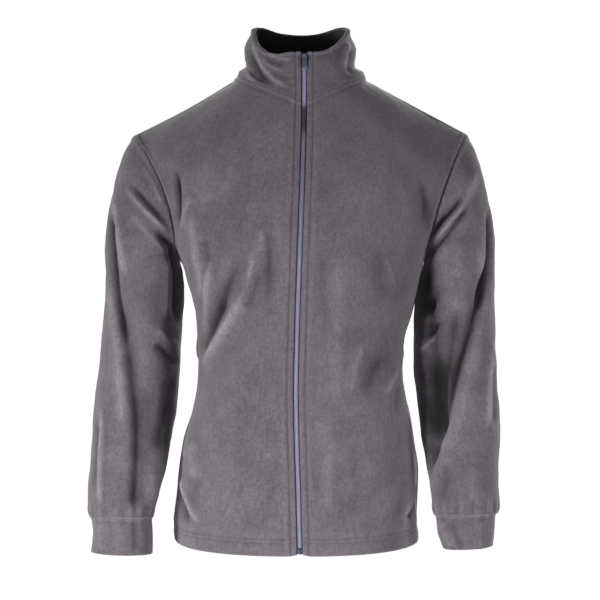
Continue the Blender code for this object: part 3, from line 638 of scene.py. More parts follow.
CUFF_TUBES = {
    Side.RIGHT: Tube(
        Side.RIGHT,
        (0.0, 0.3050, -0.6480, 0.2175, -0.6480, -0.066, 0.0375),
        (0.4, 0.3032, -0.6690, 0.2165, -0.6690, -0.068, 0.0375),
        (1.0, 0.3065, -0.6990, 0.2155, -0.7010, -0.072, 0.0385),
    ),
    Side.LEFT: Tube(
        Side.LEFT,
        (0.0, 0.2865, -0.6420, 0.1990, -0.6445, -0.066, 0.0375),
        (0.5, 0.2852, -0.6670, 0.2015, -0.6690, -0.069, 0.0370),
        (1.0, 0.2828, -0.6895, 0.2095, -0.6930, -0.072, 0.0355),
    ),
}


@dataclass
class TorsoForm:
    """The body of the jacket as rows that run from its middle line out to its side, armhole and shoulder seams.

    A place along a panel's edge is 0 at the hem, 1 at the underarm, 2 at the shoulder point and 3 at the neck.
    """

    hem_side_height: float = -0.687
    underarm_height: float = -0.265
    side_seam_y: float = 0.010
    neck_point: tuple[float, float, float] = (0.0965, 0.0, 0.0)
    shoulder_sag: Pair = (3.5 * MM, 0.0)  # right and left, halfway along the shoulder
    zip_half_gap: float = 4.3 * MM
    samples: int = 160
    easing_rows: float = 8.0
    easing_start: float = 77 * MM  # distance from the zip or the back's middle at which easing counts in full
    easing_end: float = 22 * MM
    corner_rise: float = 2.2 * MM  # of the hem beside the zip
    corner_reach: Pair = (7 * MM, 14 * MM)  # from the zip and up from the hem
    front_columns: int = 84  # between those close together
    back_columns: int = 60
    seam_margin: float = 10 * MM
    side_seam: Curves = table(
        "height right left",
        (-0.687, 0.188, 0.178),
        (-0.660, 0.189, 0.175),
        (-0.620, 0.185, 0.177),
        (-0.585, 0.182, 0.178),
        (-0.540, 0.175, 0.171),
        (-0.500, 0.162, 0.165),
        (-0.465, 0.153, 0.154),
        (-0.442, 0.151, 0.152),
        (-0.428, 0.149, 0.153),
        (-0.412, 0.156, 0.156),
        (-0.398, 0.156, 0.154),
        (-0.375, 0.152, 0.160),
        (-0.330, 0.160, 0.173),
        (-0.300, 0.167, 0.179),
        (-0.280, 0.174, 0.182),
        (-0.265, 0.185, 0.188),
    )
    depth: Curves = table(
        "height front back",
        (-0.700, 0.140, 0.132),
        (-0.620, 0.135, 0.130),
        (-0.550, 0.129, 0.121),
        (-0.460, 0.123, 0.108),
        (-0.380, 0.126, 0.111),
        (-0.300, 0.134, 0.125),
        (-0.240, 0.137, 0.133),
        (-0.180, 0.130, 0.134),
        (-0.120, 0.115, 0.124),
        (-0.080, 0.103, 0.112),
        (-0.045, 0.090, 0.098),
        (0.006, 0.086, 0.075),
        (0.035, 0.082, 0.070),
    )
    zip_line: Curves = table(
        "height x",
        (-0.700, 0.0000),
        (-0.610, -0.0023),
        (-0.465, -0.0058),
        (-0.385, -0.0043),
        (-0.250, 0.0000),
        (-0.130, 0.0043),
        (-0.045, 0.0062),
        (0.040, 0.0066),
    )
    middle_height: Curves = table(
        "place front back",
        (0.0, -0.6975, -0.692),
        (1.0, -0.268, -0.262),
        (2.0, -0.134, -0.092),
        (3.0, -0.0450, 0.006),
        ease=2.0,
    )
    row_shape: Curves = table(
        "place front_roundness front_sweep back_roundness back_sweep dip",
        (0.0, 2.30, 90, 2.35, 90, 1.00),
        (0.6, 2.20, 90, 2.25, 90, 0.80),
        (1.0, 2.35, 90, 2.40, 90, 0.50),
        (1.5, 2.25, 60, 2.40, 64, 0.40),
        (2.0, 2.00, 64, 2.15, 68, 0.35),
        (2.6, 2.00, 80, 2.00, 80, 0.25),
        (3.0, 2.00, 90, 2.00, 90, 0.10),
        ease=12.0,
    )

    @property
    def places(self) -> Array:
        """The rows' places: close together at the hem's stitched lines and at the neck seam."""
        hem = np.linspace(0, 0.08, 40, endpoint=False)
        side = np.linspace(0.08, 1, 126, endpoint=False)
        armhole = np.linspace(1, 2, 60, endpoint=False)
        shoulder = np.linspace(2, 2.94, 34, endpoint=False)
        return np.concatenate([hem, side, armhole, shoulder, np.linspace(2.94, 3, 9)])

    def edge(self, side: Side, face: Face) -> Array:
        """Where each row ends: on the side seam, then on the armhole's ring, then on the shoulder seam.

        Args:
            side: Which side of the body.
            face: Its front or its back.

        Returns:
            A point for each row.
        """
        places = self.places
        heights = self.hem_side_height + (self.underarm_height - self.hem_side_height) * places
        half_widths = self.side_seam.at(side.word, heights)
        points = np.stack([side.value * half_widths, np.full(len(places), self.side_seam_y), heights], axis=1)
        turns = -face.value * math.pi * np.clip(places - 1, 0, 1)
        armhole = SLEEVE_TUBES[side].rings(np.zeros(1), turns)[0]
        top = SLEEVE_TUBES[side].rings(np.zeros(1), np.array([math.pi]))[0]
        neck = np.array(self.neck_point) * [side.value, 1, 1]
        shoulder = top + (neck - top) * (places[:, None] - 2)
        sag = self.shoulder_sag[0 if side is Side.RIGHT else 1]
        shoulder -= sag * np.sin(math.pi * np.clip(places - 2, 0, 1))[:, None] * UP
        points[places >= 1] = armhole[places >= 1]
        points[places >= 2] = shoulder[places >= 2]
        return points

    def row_paths(self, side: Side, face: Face) -> Array:
        """Every row as a path of samples.

        A row is part of a superellipse, which has |cos|^n + |sin|^n to the power -1/n as its reach at each turn. It
        starts square to the middle line, runs through its sweep and is stretched to end on the edge. Its rise is
        shared between its run across and its run inwards, as its dip says.

        Args:
            side: Which side of the body.
            face: Its front or its back.

        Returns:
            For each row its path.
        """
        name, places = face.name.lower(), self.places
        heights = self.middle_height.at(name, places)
        zip_x = self.zip_line.at("x", heights) + side.value * self.zip_half_gap
        middle_x = zip_x if face is Face.FRONT else np.zeros(len(places))
        starts = np.stack([middle_x, face.value * self.depth.at(name, heights), heights], axis=1)[:, None]
        ends = self.edge(side, face)[:, None]
        roundness = self.row_shape.at(name + "_roundness", places)[:, None]
        sweep = np.radians(np.minimum(self.row_shape.at(name + "_sweep", places), 90))[:, None]
        dip = self.row_shape.at("dip", places)[:, None]
        turn = sweep * np.linspace(0, 1, self.samples)
        sine, cosine = np.sin(turn), np.maximum(np.cos(turn), 0)
        reach = (cosine**roundness + sine**roundness) ** (-1 / roundness)
        across = reach * sine / (reach * sine)[:, -1:]
        inwards = (1 - reach * cosine) / (1 - reach * cosine)[:, -1:]
        shares = np.stack([across, inwards, (1 - dip) * across + dip * inwards], axis=-1)
        return starts + (ends - starts) * shares

    def stations(self, length: float, face: Face) -> Array:
        """Distances along a row for its points: close together by the zip and by the outer seam.

        Args:
            length: The row's length.
            face: Whether it is a row of the front or the back.

        Returns:
            The distances.
        """
        seam = length - np.array([8.6, 7.4, 6.2, 5.0, 3.9, 2.9, 2.0, 1.2, 0.5, 0.0]) * MM
        if face is Face.BACK:
            return np.concatenate([np.linspace(0, length - self.seam_margin, self.back_columns), seam])
        by_zip = np.array([0, 0.25, 0.7, 1.3, 2.0, 2.8, 3.6, 4.4, 5.2, 6.0, 6.8, 7.6, 8.4, 9.2, 10.0, 10.8, 12, 14])
        between = np.linspace(16 * MM, length - self.seam_margin, self.front_columns)
        return np.concatenate([by_zip * MM, between, seam])

    def panel(self, side: Side, face: Face) -> Array:
        """A front, or half of the back, from its middle line out to its edge, its rows eased into one another.

        Args:
            side: Which side of the body.
            face: Its front or its back.

        Returns:
            Rows of points.
        """
        paths = self.row_paths(side, face)
        rows = [at_lengths(path, self.stations(lengths_along(path, 0)[-1], face)) for path in paths]
        grid = np.array(rows)
        from_middle = lengths_along(grid, 1)
        from_edge = from_middle[:, -1:] - from_middle
        share = np.clip(from_middle / self.easing_start, 0, 1) * faded(from_edge, 0, self.easing_end)
        grid = grid + (eased(grid, self.easing_rows) - grid) * share[..., None]
        if face is Face.FRONT:
            across, up = self.corner_reach
            rise = self.corner_rise * bell(from_middle, across) * bell(lengths_along(grid, 0), up)
            grid = grid + rise[..., None] * UP
        return grid


# Torso


FRONT_FOLDS = {
    Side.RIGHT: (
        # From the bust dart's place down into the waist: a ridge, a deep trough and the long ridge under it.
        Fold(((-128, -265), (-134, -310), (-140, -360), (-145, -400)), 4, 5, 0.2, 0.3),
        Fold(((-76, -250), (-100, -300), (-127, -362), (-152, -420)), -8, 11, 0, 0.55),
        Fold(((-108, -325), (-127, -362), (-154, -420)), -6, 10, 0, 0.25),
        Fold(((-67, -255), (-70, -285), (-78, -312)), 3, 6, 0, 0.4),
        Fold(((-76, -308), (-90, -338), (-112, -374), (-152, -436)), 6.5, 8, 0.2, 0.35),
        Fold(((-60, -290), (-66, -320), (-80, -345)), -2.5, 8),
        # One upright trough beside the zip.
        Fold(((-44, -210), (-45, -270), (-47, -350)), -3.6, 8, 0, 0.45),
        Fold(((-56, -225), (-55, -265)), 1.5, 6),
        # Under the arm.
        Fold(((-158, -200), (-152, -250), (-142, -305), (-143, -335)), 4.5, 8),
        Fold(((-138, -240), (-135, -280)), -2.5, 7),
        Fold(((-181, -135), (-179, -180), (-178, -228)), -8, 4.5, 0, 0.35),
        Fold(((-158, -175), (-168, -205), (-173, -230)), 2, 6),
        # Waist and hem.
        Fold(((-150, -405), (-148, -440), (-150, -475)), -3, 6),
        Fold(((-158, -535), (-160, -565), (-155, -595)), 3, 11),
        Fold(((-177, -590), (-171, -618), (-161, -638), (-144, -656)), 5.5, 5, 0.3),
        Fold(((-183, -604), (-177, -628), (-168, -648), (-158, -662)), -5, 5.5, 0, 0.35),
        Fold(((-168, -505), (-172, -540), (-168, -568)), 3.5, 6),
        Fold(((-60, -470), (-85, -520), (-100, -580)), -1.5, 18),
        Fold(((-100, -160), (-125, -178), (-150, -185)), 1.5, 14),
    ),
    Side.LEFT: (
        # A broad hollow down the side of the chest, with a ridge outside it.
        Fold(((115, -230), (118, -290), (116, -350)), -2.6, 18, 0, 0.4),
        Fold(((122, -250), (134, -292), (144, -322)), 1.4, 4, -0.2, 0.4),
        # The pull at the waist.
        Fold(((136, -400), (112, -428), (90, -475)), -3.4, 13, 0, 0.4),
        Fold(((94, -385), (80, -425), (74, -470)), 2, 9),
        Fold(((146, -430), (134, -448), (124, -470)), 3, 3.5, 0, 0.35),
        Fold(((150, -448), (141, -472), (140, -500)), -3, 5, 0, 0.35),
        Fold(((52, -250), (56, -340), (56, -430), (50, -510)), 2, 14),
        Fold(((34, -260), (34, -330), (36, -390)), -1.2, 8),
        Fold(((44, -520), (42, -580), (38, -640)), 2, 11),
        Fold(((78, -530), (82, -590), (78, -645)), -1.5, 11),
        # Hem corner, and the hollow inside the armhole.
        Fold(((167, -588), (166, -616), (159, -637), (145, -654)), 6.5, 5.5, -0.3, 0.35),
        Fold(((176, -600), (172, -628), (165, -646), (154, -660)), -7, 5, 0, 0.35),
        Fold(((150, -590), (142, -645)), -1.3, 9),
        Fold(((180, -150), (184, -195), (188, -240)), -5, 8, 0, 0.45),
        Fold(((138, -150), (152, -185), (162, -222)), 1.6, 11, 0, 0.4),
    ),
}
BACK_FOLDS = (
    # Pulls from the side seams across the small of the back, and out of the underarms.
    Fold(((-152, -378), (-114, -394), (-60, -398)), 3.2, 6, 0, 0.45),
    Fold(((-153, -396), (-118, -414), (-68, -420)), -5, 6.5, 0.2, 0.45),
    Fold(((152, -402), (110, -412), (64, -408)), 3.2, 6, 0, 0.45),
    Fold(((153, -420), (112, -434), (58, -430)), -5, 6.5, -0.2, 0.45),
    Fold(((-170, -262), (-142, -314), (-116, -356)), -5, 7, 0, 0.5),
    Fold(((171, -262), (140, -320), (110, -376)), -6, 7, 0, 0.5),
    # Broad folds.
    Fold(((-155, -255), (-118, -345), (-62, -430)), 4.5, 16),
    Fold(((-118, -290), (-84, -370), (-30, -440)), -3.5, 13),
    Fold(((156, -255), (112, -340), (66, -440)), 4.8, 16),
    Fold(((128, -300), (90, -372), (48, -430)), -3.2, 12),
    Fold(((20, -330), (12, -440), (20, -560)), -3.2, 19),
    Fold(((76, -420), (95, -500), (105, -595)), 3.2, 17),
    Fold(((-90, -470), (-110, -540), (-118, -615)), 3.0, 17),
    Fold(((-40, -150), (-20, -210), (-16, -290)), -2.0, 20),
    Fold(((60, -120), (84, -170), (92, -240)), 2.0, 18),
    Fold(((-150, -560), (-140, -610), (-146, -660)), 2.6, 12),
    Fold(((140, -600), (128, -640), (132, -680)), 2.4, 11),
    Fold(((-172, -150), (-170, -190), (-176, -235)), -4.0, 9),
    Fold(((172, -150), (171, -190), (178, -235)), -4.0, 9),
)


@dataclass
class Body:
    """The two fronts and the back, with their turned hem and the zip's stitched-down edges."""

    form: TorsoForm
    finish: Finish
    hem_rounding: float = 2.0 * MM
    hem_grooves: tuple[Ridge, ...] = (Ridge(18.5, -0.4, 1.4), Ridge(24.5, -0.4, 1.4))
    hem_swells: tuple[Ridge, ...] = (Ridge(10, 0.5, 6), Ridge(31, 0.6, 6))
    neck_ridges: tuple[Ridge, ...] = (Ridge(0.5, 1.4, 1.2), Ridge(4.5, -0.6, 2.4))
    zip_swell: Ridge = Ridge(14, 0.5, 4)
    seam_lip: float = 0.5
    front_dip: float = 0.6 * MM
    # Where folds come in, as a start and a reach.
    zip_fade: Pair = (9 * MM, 22 * MM)
    front_fade: Pair = (1 * MM, 9 * MM)
    front_neck_fade: Pair = (1 * MM, 12 * MM)
    back_fade: Pair = (1 * MM, 12 * MM)
    back_neck_fade: Pair = (1 * MM, 14 * MM)
    hem_fade: Pair = (-20 * MM, 40 * MM)
    plain: dict[tuple[Side, Face], Array] = field(init=False)
    cloths: dict[str, Cloth] = field(init=False, default_factory=dict)

    def __post_init__(self) -> None:
        """Works out the four plain quarters."""
        self.plain = {(side, face): self.form.panel(side, face) for side in Side for face in Face}

    @property
    def armhole_share(self) -> Array:
        """How much of each row's edge is armhole seam: all of it but near the underarm and the shoulder point."""
        places = self.form.places
        return (faded(places, 1.0, 0.12) * (1 - faded(places, 1.92, 0.08)))[:, None]

    def hem_and_neck(self, cloth: Cloth) -> tuple[Array, Array]:
        """Gives a panel its turned hem with two stitched lines, and its neck seam.

        Args:
            cloth: The panel.

        Returns:
            Each point's distance from the hem and from the neck seam.
        """
        from_hem = lengths_along(cloth.plain, 0)
        from_neck = from_hem[-1:] - from_hem
        cloth.edge(from_hem, self.hem_rounding)
        cloth.ridges(from_hem, *self.hem_grooves, *self.hem_swells)
        cloth.ridges(from_neck, *self.neck_ridges)
        return from_hem, from_neck

    def front(self, side: Side) -> None:
        """Makes one front.

        Args:
            side: Which one.
        """
        cloth = Cloth(f"front_{side.word}_cloth", self.plain[side, Face.FRONT])
        self.cloths["front_" + side.word] = cloth
        from_hem, from_neck = self.hem_and_neck(cloth)
        from_zip = lengths_along(cloth.plain, 1)
        from_edge = from_zip[:, -1:] - from_zip
        cloth.zip_edge(from_zip)
        cloth.ridges(from_zip, self.zip_swell)
        cloth.seam(from_edge, (self.seam_lip + 0.6 * self.armhole_share) * MM, self.front_dip)
        share = faded(from_zip, *self.zip_fade) * faded(from_edge, *self.front_fade)
        share = share * faded(from_neck, *self.front_neck_fade)
        cloth.fold(FRONT_FOLDS[side], Face.FRONT, share)
        cloth.unevenness(40 + side.value, share * faded(from_hem, *self.hem_fade))
        cloth.build(self.finish, "front_" + side.word, flat=(0.295, 0.72), area=0.178, held=Held.DRAPED)

    def plain_back(self) -> Array:
        """Both halves of the plain back as one grid, from its right edge to its left one."""
        right, left = self.plain[Side.RIGHT, Face.BACK], self.plain[Side.LEFT, Face.BACK]
        return np.concatenate([right[:, ::-1], left[:, 1:]], axis=1)

    def back(self) -> None:
        """Makes the back."""
        cloth = Cloth("back_cloth", self.plain_back())
        self.cloths["back"] = cloth
        from_hem, from_neck = self.hem_and_neck(cloth)
        along = lengths_along(cloth.plain, 1)
        from_edge = np.minimum(along, along[:, -1:] - along)
        cloth.seam(from_edge, (self.seam_lip + 0.7 * self.armhole_share) * MM)
        share = faded(from_edge, *self.back_fade) * faded(from_neck, *self.back_neck_fade)
        cloth.fold(BACK_FOLDS, Face.BACK, share)
        cloth.unevenness(50, share * faded(from_hem, *self.hem_fade))
        cloth.build(self.finish, "back", flat=(0.55, 0.73), area=0.345, held=Held.DRAPED)

    def neck_seam(self) -> Array:
        """The four quarters' top rows as one line round the neck from zip to zip, their shared points once."""
        right, left = (self.plain[side, Face.FRONT][-1] for side in Side)
        return np.concatenate([right, self.plain_back()[-1, 1:], left[::-1][1:]])


# Sleeves and cuffs


SLEEVE_FOLDS = {
    (Side.RIGHT, Face.FRONT): (
        # The long trough from the outer shoulder to the wrist, with a ridge on each side of it.
        Fold(((-289, -185), (-283, -250), (-274, -320), (-259, -400)), -10.5, 6.5, 0.2, 0.2),
        Fold(((-268, -335), (-256, -405), (-239, -495), (-237, -560), (-242, -680)), -9, 11, 0.25, 0.2),
        Fold(((-224, -450), (-220, -510), (-224, -580)), -3, 14),
        Fold(((-278, -165), (-268, -235), (-256, -300)), 5, 6),
        Fold(((-288, -280), (-274, -370), (-262, -460), (-260, -530)), 4, 10),
        # Outer edge above the cuff.
        Fold(((-291, -480), (-291, -570), (-289, -645)), 4.5, 4),
        Fold(((-299, -500), (-300, -610)), -3.5, 4),
        # Drag lines into the underarm.
        Fold(((-256, -152), (-237, -176), (-214, -198), (-190, -222)), -5, 4.5, 0, 0.4),
        Fold(((-260, -160), (-238, -188), (-214, -211), (-192, -232)), 4.2, 5, 0, 0.3),
        Fold(((-232, -130), (-212, -165), (-196, -200)), 2.5, 5),
        Fold(((-250, -200), (-222, -235), (-192, -262)), 2.5, 7),
        Fold(((-215, -222), (-191, -250), (-182, -290)), -7, 7, 0, 0.4),
        # The inner edge turns in sharply beside the body.
        Fold(((-194, -260), (-194, -310), (-198, -360)), 4, 8),
        Fold(((-181, -252), (-179, -310), (-182, -375)), -10, 9, 0, 0.3),
        # Inside of the elbow.
        Fold(((-214, -392), (-198, -410), (-182, -430)), -4.5, 7),
        Fold(((-212, -372), (-195, -388), (-180, -402)), 1.8, 6),
        Fold(((-187, -435), (-195, -490), (-206, -560)), -6, 11),
        Fold(((-215, -580), (-218, -640)), 2.5, 6),
    ),
    (Side.LEFT, Face.FRONT): (
        # The rolled ridge into the underarm, with a trough on each side.
        Fold(((262, -135), (248, -180), (212, -226), (180, -262)), 4.5, 6, 0, 0.15),
        Fold(((244, -170), (230, -195), (202, -220), (180, -244)), -9, 6, -0.1, 0.3),
        Fold(((254, -188), (234, -212), (214, -236), (182, -278)), -6, 5),
        # The great crease from the outer shoulder across to the inner elbow.
        Fold(((282, -190), (286, -250), (279, -315), (268, -355)), -10, 5, -0.2, 0.2),
        Fold(((284, -270), (271, -340), (242, -404), (228, -456), (210, -507), (194, -552),
              (184, -600)), -12, 10, -0.35, 0.15),
        Fold(((274, -200), (272, -250), (264, -300)), 4, 7),
        Fold(((276, -365), (256, -430), (238, -498), (212, -565)), 0.9, 8, 0, 0.25),
        # Hollow of the inner half.
        Fold(((184, -262), (188, -340), (198, -410), (194, -480), (192, -540)), -11, 18, 0, 0.15),
        Fold(((236, -335), (222, -400), (206, -465)), -8, 14, 0, 0.3),
        Fold(((214, -420), (206, -480), (196, -540)), -8, 12, 0, 0.3),
        Fold(((216, -300), (202, -325), (182, -356)), -3.5, 9, 0, 0.5),
        Fold(((190, -350), (177, -370)), 2.5, 3, 0, 0.5),
        Fold(((212, -358), (196, -372), (179, -392)), -6.5, 6, 0, 0.5),
        Fold(((194, -322), (189, -342), (186, -358)), -5.5, 5.5, 0, 0.5),
        Fold(((197, -400), (204, -445), (204, -490), (198, -545)), -7, 15, 0, 0.3),
        Fold(((187, -405), (191, -455), (192, -505), (188, -565)), -8.5, 10, 0, 0.3),
        Fold(((200, -380), (187, -394), (175, -411)), 3.5, 3.5, 0, 0.4),
        # Outer edge of the forearm.
        Fold(((288, -385), (281, -450), (274, -520)), 6, 4),
        Fold(((292, -420), (290, -470), (286, -520)), -4, 5),
        Fold(((292, -540), (292, -610)), -1.5, 5),
        Fold(((236, -240), (232, -300)), 2, 12),
        Fold(((214, -565), (205, -635)), -2.5, 9),
        Fold(((252, -570), (250, -635)), 2, 11),
    ),
    (Side.RIGHT, Face.BACK): (
        Fold(((-289, -350), (-244, -370), (-192, -384)), -6.5, 6.5, 0, 0.4),
        Fold(((-286, -374), (-240, -396), (-190, -404)), 3.4, 6, 0, 0.4),
        Fold(((-262, -150), (-228, -196), (-192, -232)), -4.5, 5.5, 0, 0.5),
        Fold(((-268, -130), (-235, -200), (-190, -255)), 4.4, 12),
        Fold(((-286, -240), (-245, -330), (-196, -372)), -3.8, 13),
        Fold(((-200, -325), (-240, -380), (-288, -400)), -3.2, 12),
        Fold(((-215, -360), (-240, -352), (-285, -330)), 2.6, 11),
        Fold(((-218, -430), (-245, -520), (-250, -618)), 3.2, 12),
        Fold(((-280, -450), (-276, -540), (-282, -620)), -2.4, 11),
    ),
    (Side.LEFT, Face.BACK): (
        Fold(((288, -364), (242, -378), (186, -372)), -6.5, 6.5, 0, 0.4),
        Fold(((286, -388), (238, -402), (184, -394)), 3.4, 6, 0, 0.4),
        Fold(((264, -156), (230, -200), (196, -236)), -4.5, 5.5, 0, 0.5),
        Fold(((270, -140), (240, -205), (196, -250)), 4.0, 12),
        Fold(((200, -285), (240, -350), (288, -388)), -3.8, 13),
        Fold(((206, -330), (236, -392), (280, -432)), 2.8, 12),
        Fold(((213, -405), (235, -500), (226, -606)), 3.6, 13),
        Fold(((272, -460), (262, -540), (266, -620)), -2.6, 11),
    ),
}
CUFF_FOLDS = {
    Side.RIGHT: (
        Fold(((-240, -648), (-237, -695)), -2.5, 6),
        Fold(((-288, -650), (-291, -695)), 1.5, 8),
        Fold(((-262, -650), (-259, -698)), 1, 9),
    ),
    Side.LEFT: (
        Fold(((203, -648), (210, -668), (222, -692)), 2.5, 5),
        Fold(((216, -648), (236, -695)), -2, 6),
        Fold(((260, -648), (265, -698)), 1, 9),
    ),
}


@dataclass
class Sleeve:
    """A sleeve from its armhole seam to its cuff seam, and the cuff band that it blouses over."""

    side: Side
    finish: Finish
    columns: int = 144
    rows: int = 212
    blouse_rows: int = 12
    armhole_fade: Pair = (1 * MM, 12 * MM)
    cuff_fade: Pair = (10 * MM, 26 * MM)
    seam_height: float = 0.8 * MM
    underarm_groove: Ridge = Ridge(0, -0.8, 1.6)
    cuff_seam_ridge: Ridge = Ridge(2.5, 1.2, 1.6)
    gathering: float = 0.7 * MM
    gather_band: Pair = (13 * MM, 12 * MM)  # its middle from the cuff seam, and its width
    puckering: float = 0.3 * MM
    pucker_band: Pair = (4 * MM, 4 * MM)
    side_turn: float = 0.4  # sets the two sleeves' gathers apart
    cuff_rows: int = 34
    cuff_fold_rows: int = 9
    cuff_inner_rows: int = 6
    cuff_gathering: float = 0.45 * MM
    cuff_gather_reach: float = 12 * MM
    cuff_top_ridge: Ridge = Ridge(1.2, 1.5, 1.3)
    cuff_roll: float = 2.3 * MM
    cuff_turning: float = 14 * MM  # how far the cuff's inner layer shows from below

    @property
    def turns(self) -> Array:
        """Angles round the sleeve from its seam under the arm."""
        return once_round(self.columns)

    def plain(self) -> Array:
        """Rings down the sleeve, whose last rows curl in over the cuff seam as a quarter of an ellipse.

        Returns:
            Rows of points.
        """
        runs = np.concatenate([np.linspace(0, 0.02, 8, endpoint=False), np.linspace(0.02, 1, self.rows)])
        body = SLEEVE_TUBES[self.side].rings(runs, self.turns)
        cuff = CUFF_TUBES[self.side].rings(np.zeros(1), self.turns)[0]
        turn = np.linspace(0, math.pi / 2, self.blouse_rows + 1)[1:]
        shares = np.stack([1 - np.cos(turn), 1 - np.cos(turn), np.sin(turn)], axis=1)[:, None]
        return np.concatenate([body, body[-1] + (cuff - body[-1]) * shares])

    def from_underarm(self, grid: Array) -> Array:
        """Each point's distance round from the seam under the arm, the shorter way."""
        round_it = lengths_along(np.concatenate([grid, grid[:, :1]], axis=1), 1)
        return np.minimum(round_it[:, :-1], round_it[:, -1:] - round_it[:, :-1])

    def gathers(self, count: int, sway: float, slow: int) -> Array:
        """Uneven gathers round the sleeve: the sine of so many turns, swayed by a slower sine."""
        turns = self.turns + self.side.value * self.side_turn
        return np.sin(count * turns + sway * np.sin(slow * turns))

    def sleeve(self) -> None:
        """Makes the sleeve, with puckers at its armhole and gathers over its cuff."""
        cloth = Cloth(f"sleeve_{self.side.word}_cloth", self.plain(), closed=True)
        from_armhole = lengths_along(cloth.plain, 0)
        from_cuff = from_armhole[-1:] - from_armhole
        share = faded(from_armhole, *self.armhole_fade) * faded(from_cuff, *self.cuff_fade)
        for face in Face:
            cloth.fold(SLEEVE_FOLDS[self.side, face], face, share)
        cloth.unevenness(60 + 4 * self.side.value, share)
        cloth.seam(from_armhole, self.seam_height, self.seam_height)
        cloth.ridges(self.from_underarm(cloth.plain), self.underarm_groove)
        cloth.ridges(from_cuff, self.cuff_seam_ridge)
        gathers = self.gathers(15, 1.4, 2) + 0.55 * self.gathers(23, 2, 3)
        middle, width = self.gather_band
        cloth.height += self.gathering * gathers * bell(from_cuff - middle, width)
        middle, width = self.pucker_band
        cloth.height += self.puckering * self.gathers(47, 2, 5) * bell(from_armhole - middle, width)
        cloth.build(self.finish, "sleeve_" + self.side.word, flat=(0.43, 0.62), area=0.192, held=Held.DRAPED)

    def cuff(self) -> None:
        """Makes the cuff band, which is folded at its lower edge and goes back up inside itself.

        The fold is a half circle: its centre plus the radius times cos(turn) outwards and sin(turn) down.
        """
        tube = CUFF_TUBES[self.side]
        ends = tube.rings(np.array([0.0, 1.0]), self.turns)
        length = float(np.linalg.norm(ends[1] - ends[0], axis=-1).mean())
        last = 1 - self.cuff_roll / length
        rings = tube.rings(np.linspace(0, last, self.cuff_rows), self.turns)
        outwards = unit((rings[-1] - rings[-1].mean(axis=0)) * [1, 1, 0])
        centre = rings[-1] - self.cuff_roll * outwards
        turn = np.linspace(0, math.pi, self.cuff_fold_rows)[1:, None, None]
        fold = centre + self.cuff_roll * (np.cos(turn) * outwards - np.sin(turn) * UP)
        runs = np.linspace(last, last - self.cuff_turning / length, self.cuff_inner_rows)[1:]
        back_up = tube.rings(runs, self.turns)
        inside = back_up - 2 * self.cuff_roll * outwards
        cloth = Cloth(f"cuff_{self.side.word}_cloth", np.concatenate([rings, fold, inside]), closed=True)
        from_top = lengths_along(cloth.plain, 0)
        outer = 1 - faded(from_top, length, self.cuff_gather_reach)
        cloth.fold(CUFF_FOLDS[self.side], Face.FRONT, outer)
        cloth.unevenness(80 + self.side.value, outer, 0.45)
        cloth.height += self.cuff_gathering * self.gathers(15, 1.4, 2) * bell(from_top, self.cuff_gather_reach)
        cloth.ridges(from_top, self.cuff_top_ridge)
        cloth.build(self.finish, "cuff_" + self.side.word, flat=(0.235, 0.085), area=0.0178, held=Held.FOLDED)


# Collar


COLLAR_FRONT_FOLDS = (
    # The slouch over the wearer's right shoulder: a curved ridge with a trough under it.
    Fold(((-70, 60), (-62, 30), (-50, 4), (-34, -12), (-14, -20)), 5, 4.5, 0, 0.2),
    Fold(((-75, 44), (-70, 20), (-57, -3), (-36, -19)), -7.5, 7, 0, 0.35),
    Fold(((-82, 30), (-74, 0), (-64, -18)), 3, 5),
    # Short pulls towards the slider.
    Fold(((-56, 25), (-40, 10), (-22, 3)), 2.5, 3),
    Fold(((-46, 30), (-25, 21), (-10, 22)), 2.2, 3),
    Fold(((-50, 22), (-24, 11)), -2, 3),
    Fold(((-44, 2), (-15, -9)), -1.5, 4),
    Fold(((70, 54), (68, 32), (64, 12)), 5, 4),
    Fold(((76, 42), (73, 2)), -5, 5),
    Fold(((47, 35), (20, 16)), -1.5, 6),
    Fold(((44, 12), (66, -15)), 1.5, 7),
)
COLLAR_BACK_FOLDS = (
    Fold(((-60, 62), (-52, 34), (-30, 14)), 2.2, 8),
    Fold(((30, 66), (38, 36), (62, 14)), 2.2, 8),
    Fold(((-12, 60), (-4, 40), (-8, 18)), -1.6, 9),
    Fold(((72, 50), (78, 24)), -2.0, 6),
)


